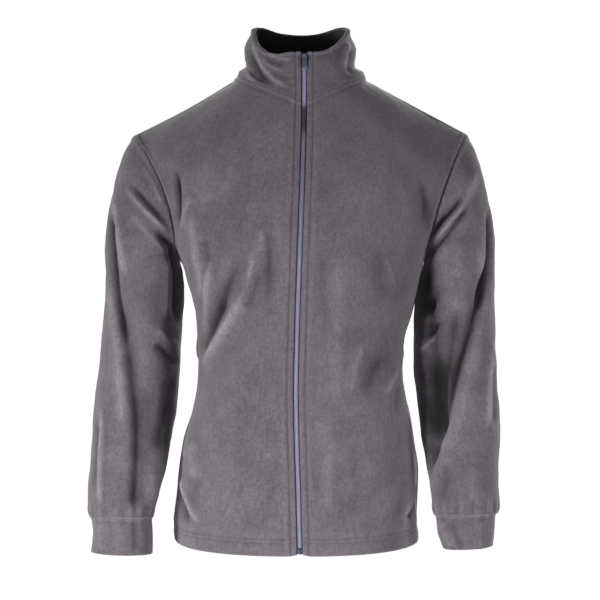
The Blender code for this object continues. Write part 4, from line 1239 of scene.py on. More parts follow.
@dataclass
class Collar:
    """The stand collar, turned over at its rim, and the dark facing inside it."""

    neck: Array  # the neck seam from zip to zip
    fleece: Finish
    lining: Finish
    front_depth: float = 0.090
    back_depth: float = 0.075
    rim_width_share: float = 0.755
    rim_depth_share: float = 0.90
    rim_side_height: float = 0.0765
    rim_front_height: float = 0.0325
    slimming_power: float = 6.0  # how late the rim widens towards the zip
    roll: float = 2.6 * MM
    flap: float = 0.8 * MM
    rows: int = 44
    roll_rows: int = 11
    flap_rows: int = 5
    seam_ridge: Ridge = Ridge(0.8, 2.7, 1.4)
    rim_ridge: Ridge = Ridge(-0.5, 1.8, 2.0)  # from the wall's last row
    foot_ridge: Ridge = Ridge(6, 0.8, 3.5)
    seam_fade: Pair = (2 * MM, 9 * MM)
    zip_fade: Pair = (9 * MM, 12 * MM)
    facing_wall: float = 1.2 * MM
    facing_gap: float = 0.3 * MM  # under the flap
    facing_start: float = 0.05
    facing_setback: float = 3.5 * MM
    facing_rows: int = 24
    lean: Curves = table(
        "rise middle right left",
        (0.00, 0.00, 0.00, 0.00),
        (0.05, 0.03, 0.12, -0.05),
        (0.10, 0.07, 0.17, -0.02),
        (0.18, 0.13, 0.24, 0.10),
        (0.22, 0.17, 0.52, 0.46),
        (0.27, 0.23, 0.70, 0.58),
        (0.33, 0.32, 0.66, 0.59),
        (0.44, 0.44, 0.58, 0.53),
        (0.60, 0.52, 0.57, 0.50),
        (0.75, 0.65, 0.73, 0.67),
        (0.85, 0.80, 0.92, 0.86),
        (1.00, 1.00, 1.10, 0.98),
        ease=7.0,
    )
    rim_rise: Curves = table(
        "depth_share height",
        (0.00, 0.0765),
        (0.20, 0.0800),
        (0.40, 0.0828),
        (0.60, 0.0836),
        (0.78, 0.0812),
        (0.90, 0.0780),
        (1.00, 0.0755),
    )
    rim_fall: Curves = table(
        "depth_share right left",
        (0.00, 0.00, 0.00),
        (0.20, 0.25, 0.12),
        (0.40, 0.60, 0.32),
        (0.62, 0.82, 0.55),
        (0.80, 1.02, 0.75),
        (0.93, 1.09, 0.94),
        (1.00, 1.00, 1.00),
    )

    def rim(self, neck: Array) -> Array:
        """The rim over each point of the neck seam: narrower in plan, high over the shoulders, low at the zip.

        Args:
            neck: Points of the neck seam.

        Returns:
            The rim's points.
        """
        x, y = neck[:, 0], neck[:, 1]
        share = np.clip(np.abs(y) / np.where(y < 0, self.front_depth, self.back_depth), 0, 1)
        slimming = np.where(y < 0, share**self.slimming_power, 0)
        width = self.rim_width_share + (1 - self.rim_width_share) * slimming
        fall = np.where(x < 0, self.rim_fall.at("right", share), self.rim_fall.at("left", share))
        front = self.rim_side_height + (self.rim_front_height - self.rim_side_height) * fall
        height = np.where(y < 0, front, self.rim_rise.at("height", share))
        return np.stack([x * width, y * self.rim_depth_share, height], axis=1)

    def wall(self, neck: Array, rises: Array) -> Array:
        """The outer face at shares of its height: the neck seam plus the way to the rim, leaning as the table says.

        Over the shoulders the wall slouches: it bulges above the seam and below the rim.

        Args:
            neck: Points of the neck seam.
            rises: Each point's share of the height.

        Returns:
            Rows of points.
        """
        x = neck[:, 0]
        sideways = np.abs(x / np.abs(x).max()) ** 3
        slouch = np.where(x < 0, self.lean.at("right", rises), self.lean.at("left", rises))
        lean = self.lean.at("middle", rises) * (1 - sideways) + slouch * sideways
        return neck + (self.rim(neck) - neck) * np.stack([lean, lean, rises], axis=-1)

    def plain(self) -> Array:
        """The wall, the rolled rim as a half circle and the flap inside.

        Returns:
            Rows of points.
        """
        rises = np.linspace(0, 1 - self.roll / self.rim_side_height, self.rows)
        wall = self.wall(self.neck, rises[:, None] * np.ones(len(self.neck)))
        along = np.gradient(eased(self.rim(self.neck), 3), axis=0) * [1, 1, 0]
        outwards = unit(np.cross(along, UP))
        outwards *= np.sign((outwards * self.neck).sum())
        centre = wall[-1] - self.roll * outwards
        turn = np.linspace(0, math.pi, self.roll_rows)[1:, None, None]
        fold = centre + self.roll * (np.cos(turn) * outwards + np.sin(turn) * UP)
        inside = fold[-1] - np.linspace(0, self.flap, self.flap_rows)[1:, None, None] * UP
        return np.concatenate([wall, fold, inside])

    def build(self) -> Cloth:
        """Makes the collar and its facing.

        Returns:
            The collar's cloth, which the zip and its stitching follow.
        """
        cloth = Cloth("collar_cloth", self.plain())
        from_seam = lengths_along(cloth.plain, 0)
        along = lengths_along(cloth.plain, 1)
        from_zip = np.minimum(along, along[:, -1:] - along)
        share = faded(from_seam, *self.seam_fade) * faded(from_zip, *self.zip_fade)
        cloth.fold(COLLAR_FRONT_FOLDS, Face.FRONT, share)
        cloth.fold(COLLAR_BACK_FOLDS, Face.BACK, share)
        cloth.unevenness(90, share, 0.5)
        cloth.ridges(from_seam, self.seam_ridge)
        cloth.ridges(from_seam - from_seam[self.rows - 1], self.rim_ridge)
        cloth.ridges(from_seam, self.foot_ridge)
        cloth.zip_edge(from_zip)
        cloth.build(self.fleece, "collar", flat=(0.50, 0.095), area=0.043, held=Held.FOLDED)
        self.facing(cloth)
        return cloth

    def facing(self, collar: Cloth) -> None:
        """Makes the facing: the collar's own wall, set back inside it, between the neck seam and the rim's flap.

        Args:
            collar: The collar's cloth.
        """
        neck = self.neck[::2]
        rim_height = self.rim(neck)[:, 2]
        top = (collar.plain[-1, ::2, 2] - self.facing_gap - neck[:, 2]) / (rim_height - neck[:, 2])
        share = np.linspace(0, 1, self.facing_rows)[:, None]
        rises = self.facing_start + (top - self.facing_start) * share
        cloth = Cloth("collar_facing_cloth", self.wall(neck, rises), wall=self.facing_wall)
        cloth.fold(COLLAR_FRONT_FOLDS, Face.FRONT)
        cloth.fold(COLLAR_BACK_FOLDS, Face.BACK)
        cloth.height -= self.facing_setback
        cloth.build(self.lining, "collar_facing", flat=(0.46, 0.075), area=0.030, held=Held.STRETCHED)


# Zip and stitching


def tube(name: str, path: Array, radius: float, side: Array) -> Piece:
    """Makes a round wire along a path that lies square to a side direction.

    A point is the path's own plus the radius times cos(turn) sideways and sin(turn) square to path and side.

    Args:
        name: Its name.
        path: The wire's middle line.
        radius: Its radius.
        side: The side direction.

    Returns:
        The mesh.
    """
    turn = once_round(14)[:, None]
    across = unit(np.cross(np.gradient(path, axis=0), side))
    rings = path[:, None] + radius * (np.cos(turn) * side + np.sin(turn) * across[:, None])
    return rings_mesh(name, rings)


def rings_mesh(name: str, rings: Array) -> Piece:
    """Makes a closed mesh of rings joined by four-sided faces, with a flat face on its first and last ring.

    Args:
        name: Its name.
        rings: Rings of points.

    Returns:
        The mesh.
    """
    count, around = rings.shape[:2]
    faces = quads(count, around, closed=True).tolist() + end_faces(count, around)
    return closed_mesh(name, rings, faces)


def closed_mesh(name: str, points: Array, faces: list[list[int]]) -> Piece:
    """Makes a closed mesh, turned right side out if its volume, a sum over its faces, comes out negative.

    Args:
        name: Its name.
        points: The points.
        faces: Each face's point numbers.

    Returns:
        The mesh.
    """
    flat = points.reshape(-1, 3)
    fans = np.array([[face[0], face[step], face[step + 1]] for face in faces for step in range(1, len(face) - 1)])
    one, two, three = (flat[fans[:, corner]] for corner in range(3))
    if (one * np.cross(two, three)).sum() < 0:
        faces = [face[::-1] for face in faces]
    return new_mesh(name, points, faces)


def squarish(half_width: float, half_length: float, power: float, taper: float, points: int = 40) -> Array:
    """An outline between an ellipse and a block: cos and sin of the turn raised to 2/power, with their signs.

    Args:
        half_width: Half the width.
        half_length: Half the length.
        power: 2 for an ellipse, more for a squarer one.
        taper: How much wider the upper end is, as a share.
        points: The number of points.

    Returns:
        The outline's (across, along).
    """
    turn = once_round(points)
    across = half_width * np.sign(np.cos(turn)) * np.abs(np.cos(turn)) ** (2 / power)
    along = half_length * np.sign(np.sin(turn)) * np.abs(np.sin(turn)) ** (2 / power)
    return np.stack([across * (1 + taper * along / half_length), along], axis=1)


def rounded_outline(corners: Sequence[Pair], radius: float) -> Array:
    """An outline whose corners are parabolas: (1-s)^2 of the point before, 2s(1-s) of the corner, s^2 of the next.

    Args:
        corners: The corners' (across, along).
        radius: How far from a corner its curve starts.

    Returns:
        The outline's (across, along).
    """
    corner = np.array(corners)
    back = corner + radius * unit(np.roll(corner, 1, axis=0) - corner)
    onward = corner + radius * unit(np.roll(corner, -1, axis=0) - corner)
    share = np.linspace(0, 1, 8)[None, :, None]
    curve = (1 - share) ** 2 * back[:, None] + 2 * share * (1 - share) * corner[:, None] + share**2 * onward[:, None]
    return curve.reshape(-1, 2)


# The tab's section as a ring: its shares of the way from outline to slot, and its depths in half thicknesses.
TAB_SHARES = np.array([0.02, 0.0, 0.0, 0.02, 0.06, 0.10, 0.5, 0.9, 0.98, 1.0, 1.0, 0.98, 0.9, 0.5, 0.10, 0.06])
TAB_DEPTHS = np.array([0.95, 0.55, -0.55, -0.95, -1, -0.72, -0.72, -0.9, -0.9, -0.5, 0.5, 0.9, 1, 1, 1, 1])


@dataclass
class Zip:
    """The closed zip: two tapes, a coil, a slider with its wire bail, a pull tab and the box at the hem.

    Layers are distances outwards from the fleece's outer face. The box's profile is in millimetres.
    """

    form: TorsoForm
    collar: Cloth
    woven: Finish
    plastic: Finish
    metal: Finish
    box_metal: Finish
    bottom: float = -0.694
    top: float = 0.0295
    span: Pair = (-0.70, 0.031)  # of the middle line, past both ends
    body_top: float = -0.047
    tape_layer: float = -2.7 * MM
    tape_reach: float = 10.0 * MM
    tape_end_reach: float = 3.4 * MM
    tape_end_start: float = 0.0150
    tape_end_length: float = 4 * MM
    tape_gap: float = 0.15 * MM  # between a tape and the middle
    tape_wall: float = 0.8 * MM
    coil_layer: float = -1.15 * MM
    coil_pitch: float = 1.4 * MM
    coil_half_width: float = 2.9 * MM
    coil_overlap: float = 0.45 * MM  # how far a turn reaches past the middle
    coil_rise: float = 0.15 * MM
    coil_girth: Pair = (0.44 * MM, 1.0 * MM)  # half of it, sideways and outwards
    coil_ends: Pair = (0.8 * MM, 1.5 * MM)  # above the box and under the tape's end
    box_length: float = 8.5 * MM
    box_width: float = 6.6 * MM
    box_profile: tuple[Pair, ...] = ((-2.4, 0.5), (-2.1, 0.1), (-1.0, 0), (-0.1, 0.1), (0.3, 0.9))
    slider_place: float = 0.0245
    slider_length: float = 9.4 * MM
    slider_width: float = 8.4 * MM
    slider_base: float = 0.2 * MM
    slider_thickness: float = 2.4 * MM
    slider_shoulder: float = 0.35 * MM  # by which its outline is narrower
    bail_radius: float = 2.1 * MM
    bail_wire: float = 0.55 * MM
    bail_stand: float = 1.5 * MM
    bail_foot: float = 0.6 * MM  # in the slider's crown
    pivot_drop: float = 0.5 * MM
    tab_length: float = 19.5 * MM
    tab_thickness: float = 1.2 * MM
    tab_rise: float = 0.6 * MM  # above the pivot
    tab_half_widths: Pair = (2.7 * MM, 4.0 * MM)  # at its top and its end
    tab_corner: float = 1.4 * MM
    slot_half_width: float = 1.2 * MM
    slot_span: Pair = (-0.6 * MM, -4 * MM)
    slot_corner: float = 0.7 * MM
    face: Array = field(init=False)

    def __post_init__(self) -> None:
        """Works out the zip's middle line on the fleece's outer face: up the body, then up the collar's wall."""
        body = np.linspace(self.span[0], self.body_top, 260)
        wall = self.collar.plain[: Collar.rows, 0]
        heights = np.linspace(*self.span, 366)
        depths = np.concatenate([-self.form.depth.at("front", body), wall[:, 1]])
        y = eased(np.interp(heights, np.concatenate([body, wall[:, 2]]), depths), 2.0)
        self.face = np.stack([self.form.zip_line.at("x", heights), y, heights], axis=1)

    def at(self, heights: Array, layer: float) -> tuple[Array, Array]:
        """Points of the zip's middle line at a layer.

        Args:
            heights: The points' heights.
            layer: How far outwards of the fleece's face they lie.

        Returns:
            The points and the outward directions there.
        """
        outwards = unit(np.cross(np.gradient(self.face, axis=0), SIDEWAYS))
        outwards *= -np.sign(outwards[:, 1:2])
        face, out = (points_at(heights, self.face[:, 2], values) for values in (self.face, outwards))
        return face + layer * out, unit(out)

    def place(self, height: float, length: float) -> Array:
        """The frame of a piece on the zip as rows: X across it, Y inwards, Z up along it, and its middle.

        Args:
            height: The piece's height.
            length: Its length along the zip.

        Returns:
            The four rows.
        """
        below, above = self.at(np.array([height - length / 2, height + length / 2]), 0.0)[0]
        up = unit(above - below)
        across = unit(SIDEWAYS - SIDEWAYS.dot(up) * up)
        return np.stack([across, np.cross(up, across), up, (above + below) / 2])

    def tape(self, side: Side) -> None:
        """Makes one tape: a flat strip under the coil, narrower at its top end.

        Args:
            side: Which one.
        """
        heights = np.linspace(self.bottom, self.top, 362)
        middle, _ = self.at(heights, self.tape_layer)
        end = faded(heights, self.tape_end_start, self.tape_end_length)
        reach = self.tape_reach + (self.tape_end_reach - self.tape_reach) * end
        share = np.linspace(0, 1, 9)
        across = self.tape_gap + (reach[:, None] - self.tape_gap) * share
        grid = middle[:, None] + side.value * across[..., None] * SIDEWAYS
        cloth = Cloth(f"zip_tape_{side.word}_woven", grid, wall=self.tape_wall)
        cloth.build(self.woven, "zip_tape_" + side.word, flat=(0.0125, 0.735), area=0.0090, held=Held.STRETCHED)

    def coil(self) -> None:
        """Makes the coil: a row of turns on each side that meet in the middle, each turn a small rod."""
        starts, ends, out = [], [], []
        above_box, under_end = self.coil_ends
        for side in Side:
            first = self.bottom + self.box_length + above_box + (self.coil_pitch / 2 if side is Side.LEFT else 0)
            heights = np.arange(first, self.top - under_end, self.coil_pitch)
            middle, outwards = self.at(heights, self.coil_layer)
            starts.append(middle - side.value * self.coil_overlap * SIDEWAYS)
            ends.append(middle + side.value * self.coil_half_width * SIDEWAYS + self.coil_rise * UP)
            out.append(outwards)
        turns = (np.concatenate(part) for part in (starts, ends, out))
        dressed(rods("zip_coil_turns", *turns, *self.coil_girth), self.plastic, JACKET, "zip_chain")

    def pebble(self, name: str, outline: Array, profile: Array | Sequence[Pair], place: Array) -> Piece:
        """Makes a flat piece with rounded edges: its outline again and again, drawn in and moved outwards.

        Args:
            name: Its name.
            outline: The outline's (across, along).
            profile: For each ring its distance outwards and how far it is drawn in.
            place: The piece's frame.

        Returns:
            The mesh.
        """
        layers = np.array(profile)
        size = np.abs(outline).max(axis=0)
        scale = 1 - layers[:, 1, None] / size
        flat = outline[None] * scale[:, None]
        rings = flat[..., :1] * place[0] - layers[:, 0, None, None] * place[1] + flat[..., 1:] * place[2] + place[3]
        return rings_mesh(name, rings)

    def box(self) -> None:
        """Makes the box that holds the zip's lower end together."""
        place = self.place(self.bottom + self.box_length / 2, self.box_length)
        outline = squarish(self.box_width / 2, self.box_length / 2, power=5, taper=0.05)
        box = self.pebble("zip_box_rounded", outline, np.array(self.box_profile) * MM, place)
        dressed(box, self.box_metal, JACKET, "zip_box")

    def slider(self) -> None:
        """Makes the slider's crowned body, wider at the top, and the wire bail that stands on it."""
        place = self.place(self.slider_place, self.slider_length)
        half_width = self.slider_width / 2 - self.slider_shoulder
        outline = squarish(half_width, self.slider_length / 2, power=3.6, taper=0.09)
        base, crown = self.slider_base, self.slider_base + self.slider_thickness
        profile = (
            (base, 0.45 * MM),
            (base + 0.3 * MM, 0.08 * MM),
            (base + 1.0 * MM, 0),
            (crown - 0.9 * MM, 0.12 * MM),
            (crown - 0.35 * MM, 0.6 * MM),
            (crown - 0.08 * MM, 1.4 * MM),
            (crown, 2.6 * MM),
        )
        dressed(self.pebble("zip_slider_body", outline, profile, place), self.metal, JACKET, "zip_slider")
        turn = np.linspace(0, math.pi, 21)
        pivot = crown + self.bail_stand
        foot = crown - self.bail_foot
        out = np.concatenate([[foot], pivot + self.bail_radius * np.sin(turn), [foot]])
        along = self.bail_radius * np.concatenate([[1], np.cos(turn), [-1]])
        path = place[3] - out[:, None] * place[1] + along[:, None] * place[2]
        dressed(tube("zip_slider_bail", path, self.bail_wire, place[0]), self.metal, JACKET, "zip_slider")

    def pull_tab(self) -> None:
        """Makes the tab as it hangs from the bail, with its slot and a shallow panel near its end.

        It is a ring in two ways: round from its outline to its slot and back, and through its thickness.
        """
        place = self.place(self.slider_place, self.slider_length)
        out = self.slider_base + self.slider_thickness + self.bail_stand
        pivot = place[3] - out * place[1] - self.pivot_drop * place[2]
        top, end = self.tab_rise, self.tab_rise - self.tab_length
        upper, lower = self.tab_half_widths
        edge = rounded_outline(((-upper, top), (upper, top), (lower, end), (-lower, end)), self.tab_corner)
        half, (high, low) = self.slot_half_width, self.slot_span
        slot = rounded_outline(((-half, high), (half, high), (half, low), (-half, low)), self.slot_corner)
        depth = TAB_DEPTHS * (self.tab_thickness / 2)
        flat = edge[None] + (slot - edge)[None] * TAB_SHARES[:, None, None]
        rings = pivot + flat[..., :1] * SIDEWAYS + depth[:, None, None] * BACKWARDS + flat[..., 1:] * UP
        faces = quads(*rings.shape[:2], closed=True, looped=True)
        dressed(closed_mesh("pull_tab_rounded", rings, faces.tolist()), self.metal, PULL_TAB, "pull_tab")

    def build(self) -> None:
        """Makes every piece of the zip."""
        for side in Side:
            self.tape(side)
        self.coil()
        self.box()
        self.slider()
        self.pull_tab()


def dressed(piece: Piece, finish: Finish, body: str, node: str | None = None) -> None:
    """Gives a piece its finish, its body and the CAD node that it stands for.

    Args:
        piece: The piece.
        finish: Its finish.
        body: The body it rides on.
        node: The CAD node it replaces, if any.
    """
    finish.dress(piece)
    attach(piece, body)
    if node:
        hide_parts(node)
    log.info("%s: %d faces", piece.name, len(piece.data.polygons))


@dataclass
class Stitching:
    """Straight lines of stitches in the fleece's stitched grooves."""

    thread: Finish
    pitch: float = 3.2 * MM
    stitch: float = 2.5 * MM
    half_girth: float = 0.27 * MM
    lift: float = 0.12 * MM
    starts: list[Array] = field(default_factory=list)
    ends: list[Array] = field(default_factory=list)
    outwards: list[Array] = field(default_factory=list)

    def along(self, cloth: Cloth, distance: Array, axis: int, flip: bool = False) -> None:
        """Adds a line of stitches where a distance field of the cloth passes zero.

        Args:
            cloth: The cloth.
            distance: The field, which grows along the axis.
            axis: 1 if it grows along the rows and 0 if it grows up the columns.
            flip: Reads the axis from its other end, where the field falls along it.
        """
        surface, normals = cloth.surface, cloth.normals
        if axis == 0:
            surface, normals, distance = surface.swapaxes(0, 1), normals.swapaxes(0, 1), distance.T
        if flip:
            surface, normals, distance = surface[:, ::-1], normals[:, ::-1], distance[:, ::-1]
        column = np.clip((distance < 0).sum(axis=1) - 1, 0, distance.shape[1] - 2)
        row = np.arange(len(distance))
        near, far = distance[row, column], distance[row, column + 1]
        share = np.clip(-near / np.maximum(far - near, 1e-9), 0, 1)[:, None]
        path = surface[row, column] * (1 - share) + surface[row, column + 1] * share
        out = normals[row, column]
        lengths = lengths_along(path, 0)
        begin = np.arange(self.pitch, lengths[-1] - self.stitch, self.pitch)
        out = points_at(begin, lengths, out)
        self.starts.append(at_lengths(path, begin) + self.lift * out)
        self.ends.append(at_lengths(path, begin + self.stitch) + self.lift * out)
        self.outwards.append(unit(out))

    def build(self, name: str) -> None:
        """Makes every line added so far as one piece."""
        lines = (np.concatenate(part) for part in (self.starts, self.ends, self.outwards))
        dressed(rods(name, *lines, self.half_girth, self.half_girth), self.thread, JACKET)


# Finishes


class Value:
    """A shader socket that takes part in arithmetic; each operator adds its Math node."""

    def __init__(self, graph: Graph, socket: bpy.types.NodeSocket) -> None:
        """Wraps a socket of a graph."""
        self.graph = graph
        self.socket = socket

    def maths(self, operation: str, *values: Any) -> Value:
        """Adds a Math node of the named operation."""
        return self.graph.node("ShaderNodeMath", {"operation": operation}, dict(enumerate(values)))

    def __add__(self, other: Any) -> Value:
        """The sum."""
        return self.maths("ADD", self, other)

    def __sub__(self, other: Any) -> Value:
        """The difference."""
        return self.maths("SUBTRACT", self, other)

    def __rsub__(self, other: Any) -> Value:
        """A number less this value."""
        return self.maths("SUBTRACT", other, self)

    def __mul__(self, other: Any) -> Value:
        """The product."""
        return self.maths("MULTIPLY", self, other)

    __radd__, __rmul__ = __add__, __mul__

    def between(self, low: float, high: float) -> Value:
        """The value spread from 0 at a low number to 1 at a high one, smoothly, and held there.

        Args:
            low: The low number.
            high: The high one.

        Returns:
            The spread value.
        """
        settings = {"interpolation_type": "SMOOTHSTEP"}
        inputs = {"Value": self, "From Min": low, "From Max": high}
        return self.graph.node("ShaderNodeMapRange", settings, inputs)


class Graph:
    """A material's nodes, with the shader's constants set on its own sockets."""

    def __init__(self, name: str, **constants: Any) -> None:
        """Starts a material with a principled shader.

        Args:
            name: The material's name.
            constants: The shader's settings by socket name, with spaces as underscores.
        """
        self.material = bpy.data.materials.new(name)
        self.material.use_nodes = True
        self.tree = self.material.node_tree
        self.shader = self.tree.nodes["Principled BSDF"]
        for key, constant in constants.items():
            self.shader.inputs[key.replace("_", " ")].default_value = constant

    def node(self, kind: str, settings: dict[str, Any], inputs: dict[Any, Any], output: Any = 0) -> Value:
        """Adds a node.

        Args:
            kind: The node's type.
            settings: Its own settings, which are set first.
            inputs: For each socket its value, or the value that is linked to it.
            output: Which of its outputs is wanted.

        Returns:
            The output as a value.
        """
        made = self.tree.nodes.new(kind)
        for key, setting in settings.items():
            setattr(made, key, setting)
        for key, given in inputs.items():
            if isinstance(given, Value):
                self.tree.links.new(given.socket, made.inputs[key])
            else:
                made.inputs[key].default_value = given
        return Value(self, made.outputs[output])

    def feed(self, name: str, value: Value) -> None:
        """Links a value to one of the shader's sockets."""
        self.tree.links.new(value.socket, self.shader.inputs[name])

    def place(self, stretch: tuple[float, float, float] = (1, 1, 1)) -> Value:
        """The object's own coordinates, stretched."""
        place = self.node("ShaderNodeTexCoord", {}, {}, "Object")
        return self.node("ShaderNodeMapping", {}, {"Vector": place, "Scale": stretch})

    def noise(self, place: Value, scale: float, detail: float = 2.0, roughness: float = 0.5) -> Value:
        """Smooth noise around one half, with a scale in waves a metre."""
        inputs = {"Vector": place, "Scale": scale, "Detail": detail, "Roughness": roughness}
        return self.node("ShaderNodeTexNoise", {}, inputs)

    def shades(self, colour: Sequence[float], strength: Value) -> Value:
        """A colour made lighter or darker by a value around one."""
        grey = self.node("ShaderNodeCombineXYZ", {}, {0: strength, 1: strength, 2: strength})
        return self.node("ShaderNodeVectorMath", {"operation": "MULTIPLY"}, {0: tuple(colour), 1: grey})

    def bump(self, height: Value, distance: float, strength: float = 1.0) -> Value:
        """A normal from a height between 0 and 1 that stands for a distance in metres.

        Args:
            height: The height.
            distance: How high a height of 1 is.
            strength: How much of it shows.

        Returns:
            The normal.
        """
        return self.node("ShaderNodeBump", {}, {"Height": height, "Distance": distance, "Strength": strength})


@dataclass(frozen=True)
class Finish:
    """What a surface is made of. Each kind fills in its own nodes."""

    name: str
    slot: str
    colour: tuple[float, float, float]

    def nodes(self) -> Graph:
        """Makes the material's nodes."""
        raise NotImplementedError

    def dress(self, piece: Piece) -> None:
        """Gives a piece this finish."""
        material = bpy.data.materials.get(self.name) or self.nodes().material
        piece.data.materials.append(material)


@dataclass(frozen=True)
class Fleece(Finish):
    """Brushed knit fleece: a matt pile in small tufts, with a faint upright grain, light catching its nap, and
    painted shade in its hollows and painted highlight on its ridges.
    """

    sheen: float = 0.55
    tuft_waves: float = 210.0  # a metre, as the next three
    nap_waves: float = 620.0
    grain_waves: float = 330.0
    drift_waves: float = 16.0
    tuft_height: float = 0.35 * MM
    mottling: float = 0.40
    # Painted highlight: how much lighter the crests of ridges are.
    crests: float = 0.25

    def nodes(self) -> Graph:
        """Tufts of 4 mm, a nap of 1 mm and a slow drift, in colour and in height, with painted highlight on ridges
        and painted shade in hollows.

        Returns:
            The graph.
        """
        graph = Graph(
            self.name,
            Roughness=0.95,
            Specular_IOR_Level=0.12,
            Sheen_Weight=self.sheen,
            Sheen_Roughness=0.55,
            Sheen_Tint=(0.92, 0.90, 0.93, 1),
        )
        place = graph.place()
        tufts = graph.noise(place, self.tuft_waves, 3.0, 0.6)
        nap = graph.noise(place, self.nap_waves, 2.0, 0.7)
        grain = graph.noise(graph.place((1.0, 1.0, 0.18)), self.grain_waves, 2.0, 0.6)
        drift = graph.noise(place, self.drift_waves, 2.0)
        relief = graph.node("ShaderNodeAttribute", {"attribute_name": "relief"}, {}, "Fac")
        # Painted shading: the colour is darkened in hollows and creases and lightened on ridges and crests, after the
        # cloth's painted shading.
        ridges = (relief.between(-15.5, 15.5) - 0.5) * 1.8 + relief.between(1.2, 8.0) * self.crests
        pile = 1.0 + (tufts - 0.5) * self.mottling * 2.2 + (nap - 0.5) * self.mottling * 2.4
        pile = pile + (grain - 0.5) * self.mottling * 1.4 + (drift - 0.5) * 0.22
        strength = pile * (1.0 + ridges)
        graph.feed("Base Color", graph.shades(self.colour, strength))
        height = tufts * 0.5 + nap * 0.25 + grain * 0.25
        graph.feed("Normal", graph.bump(height, self.tuft_height))
        return graph


@dataclass(frozen=True)
class Facing(Finish):
    """Dark brushed knit inside the collar."""

    def nodes(self) -> Graph:
        """A fine nap over a faint drift.

        Returns:
            The graph.
        """
        graph = Graph(self.name, Roughness=0.95, Specular_IOR_Level=0.1, Sheen_Weight=0.12, Sheen_Roughness=0.6)
        place = graph.place()
        nap = graph.noise(place, 700, 3.0, 0.6)
        strength = 1.0 + (nap - 0.5) * 0.7 + (graph.noise(place, 30) - 0.5) * 0.4
        graph.feed("Base Color", graph.shades(self.colour, strength))
        graph.feed("Normal", graph.bump(nap, 0.3 * MM, 0.8))
        return graph


@dataclass(frozen=True)
class Weave(Finish):
    """Woven zip tape, with ribs across its length."""

    rib: float = 0.6 * MM
    wave: float = 0.314  # a Wave texture's bands are this over its scale wide

    def nodes(self) -> Graph:
        """Ribs as sine waves up the tape, with crossing threads.

        Returns:
            The graph.
        """
        graph = Graph(self.name, Specular_IOR_Level=0.3)
        place = graph.place()
        bands = []
        for direction, distortion in (("Z", 0.4), ("X", 0.6)):
            settings = {"wave_type": "BANDS", "bands_direction": direction}
            inputs = {"Vector": place, "Scale": self.wave / self.rib, "Distortion": distortion}
            bands.append(graph.node("ShaderNodeTexWave", settings, inputs))
        woven = bands[0] * 0.6 + bands[1] * 0.4
        graph.feed("Base Color", graph.shades(self.colour, 0.75 + woven * 0.5))
        graph.feed("Roughness", 0.72 + woven * 0.15)
        graph.feed("Normal", graph.bump(woven, 0.12 * MM, 0.9))
        return graph


@dataclass(frozen=True)
class Plastic(Finish):
    """Satin moulded or drawn plastic."""

    def nodes(self) -> Graph:
        """A fine unevenness in gloss and tone, with painted shade on the coil that deepens up the chest, most where
        the fronts close over it below the collar, and none on the collar.

        Returns:
            The graph.
        """
        graph = Graph(self.name, Specular_IOR_Level=0.5, Coat_Weight=0.05)
        place = graph.place()
        fine = graph.noise(place, 1500, 2.0)
        slow = graph.noise(place, 60, 2.0)
        height = graph.node("ShaderNodeSeparateXYZ", {}, {0: place}, 2)
        # Painted shade: darker up the chest and most just below the collar seam, where the fronts close over the
        # coil; none on the collar.
        closed = height.between(-0.30, -0.12) * 0.45 + height.between(-0.10, -0.075) * 0.42
        closed = closed - height.between(-0.053, -0.042) * 0.87
        graph.feed("Base Color", graph.shades(self.colour, 0.9 + fine * 0.1 + slow * 0.1 - closed))
        graph.feed("Roughness", 0.36 + fine * 0.16)
        graph.feed("Normal", graph.bump(fine, 0.03 * MM, 0.6))
        return graph


@dataclass(frozen=True)
class Metal(Finish):
    """Die-cast metal with a slate paint, worn brighter along its edges, where there is painted highlight too."""

    # Painted glint on the bail and the tab's lower end.
    rubbed: float = 1.0  # how much brighter the bail and the tab's lower end are

    def nodes(self) -> Graph:
        """Paint with an orange-peel height, worn spots where a coarser noise is highest, edges brighter as wear and
        as painted highlight, and painted glints on the bail and the tab's lower end.

        Returns:
            The graph.
        """
        graph = Graph(self.name, Specular_IOR_Level=0.5, Coat_Roughness=0.25)
        place = graph.place()
        peel = graph.noise(place, 700, 2.0)
        worn = graph.noise(place, 380, 4.0, 0.7).between(0.60, 0.74)
        # Edges brighter, partly as wear and partly as painted highlight.
        edges = graph.node("ShaderNodeNewGeometry", {}, {}, "Pointiness").between(0.51, 0.58)
        height = graph.node("ShaderNodeSeparateXYZ", {}, {0: place}, 2)
        # Painted glint: the bail and the tab's lower end are lighter in colour, as though catching light.
        painted_glint_places = 1.0 - height.between(0.0085, 0.0110) + height.between(0.0220, 0.0260)
        strength = 0.92 + peel * 0.16 + edges * 0.9 + worn * 0.2 + painted_glint_places * self.rubbed
        graph.feed("Base Color", graph.shades(self.colour, strength))
        graph.feed("Metallic", 0.45 + edges * 0.3)
        graph.feed("Roughness", 0.42 + peel * 0.12 - edges * 0.1)
        graph.feed("Normal", graph.bump(peel, 0.04 * MM, 0.5))
        return graph


@dataclass(frozen=True)
class Thread(Finish):
    """Spun sewing thread."""

    def nodes(self) -> Graph:
        """A fine twist as noise.

        Returns:
            The graph.
        """
        graph = Graph(self.name, Specular_IOR_Level=0.25, Sheen_Weight=0.2)
        twist = graph.noise(graph.place(), 2400, 1.0)
        graph.feed("Base Color", graph.shades(self.colour, 0.8 + twist * 0.4))
        graph.feed("Roughness", 0.75 + twist * 0.1)
        return graph


# Studio and assembly


@dataclass(frozen=True)
class Lamp:
    """A square soft light: where it stands, what it points at, its size, its power and its spread in degrees."""

    name: str
    place: tuple[float, float, float]
    towards: tuple[float, float, float]
    size: float
    power: float
    spread: float = 180.0


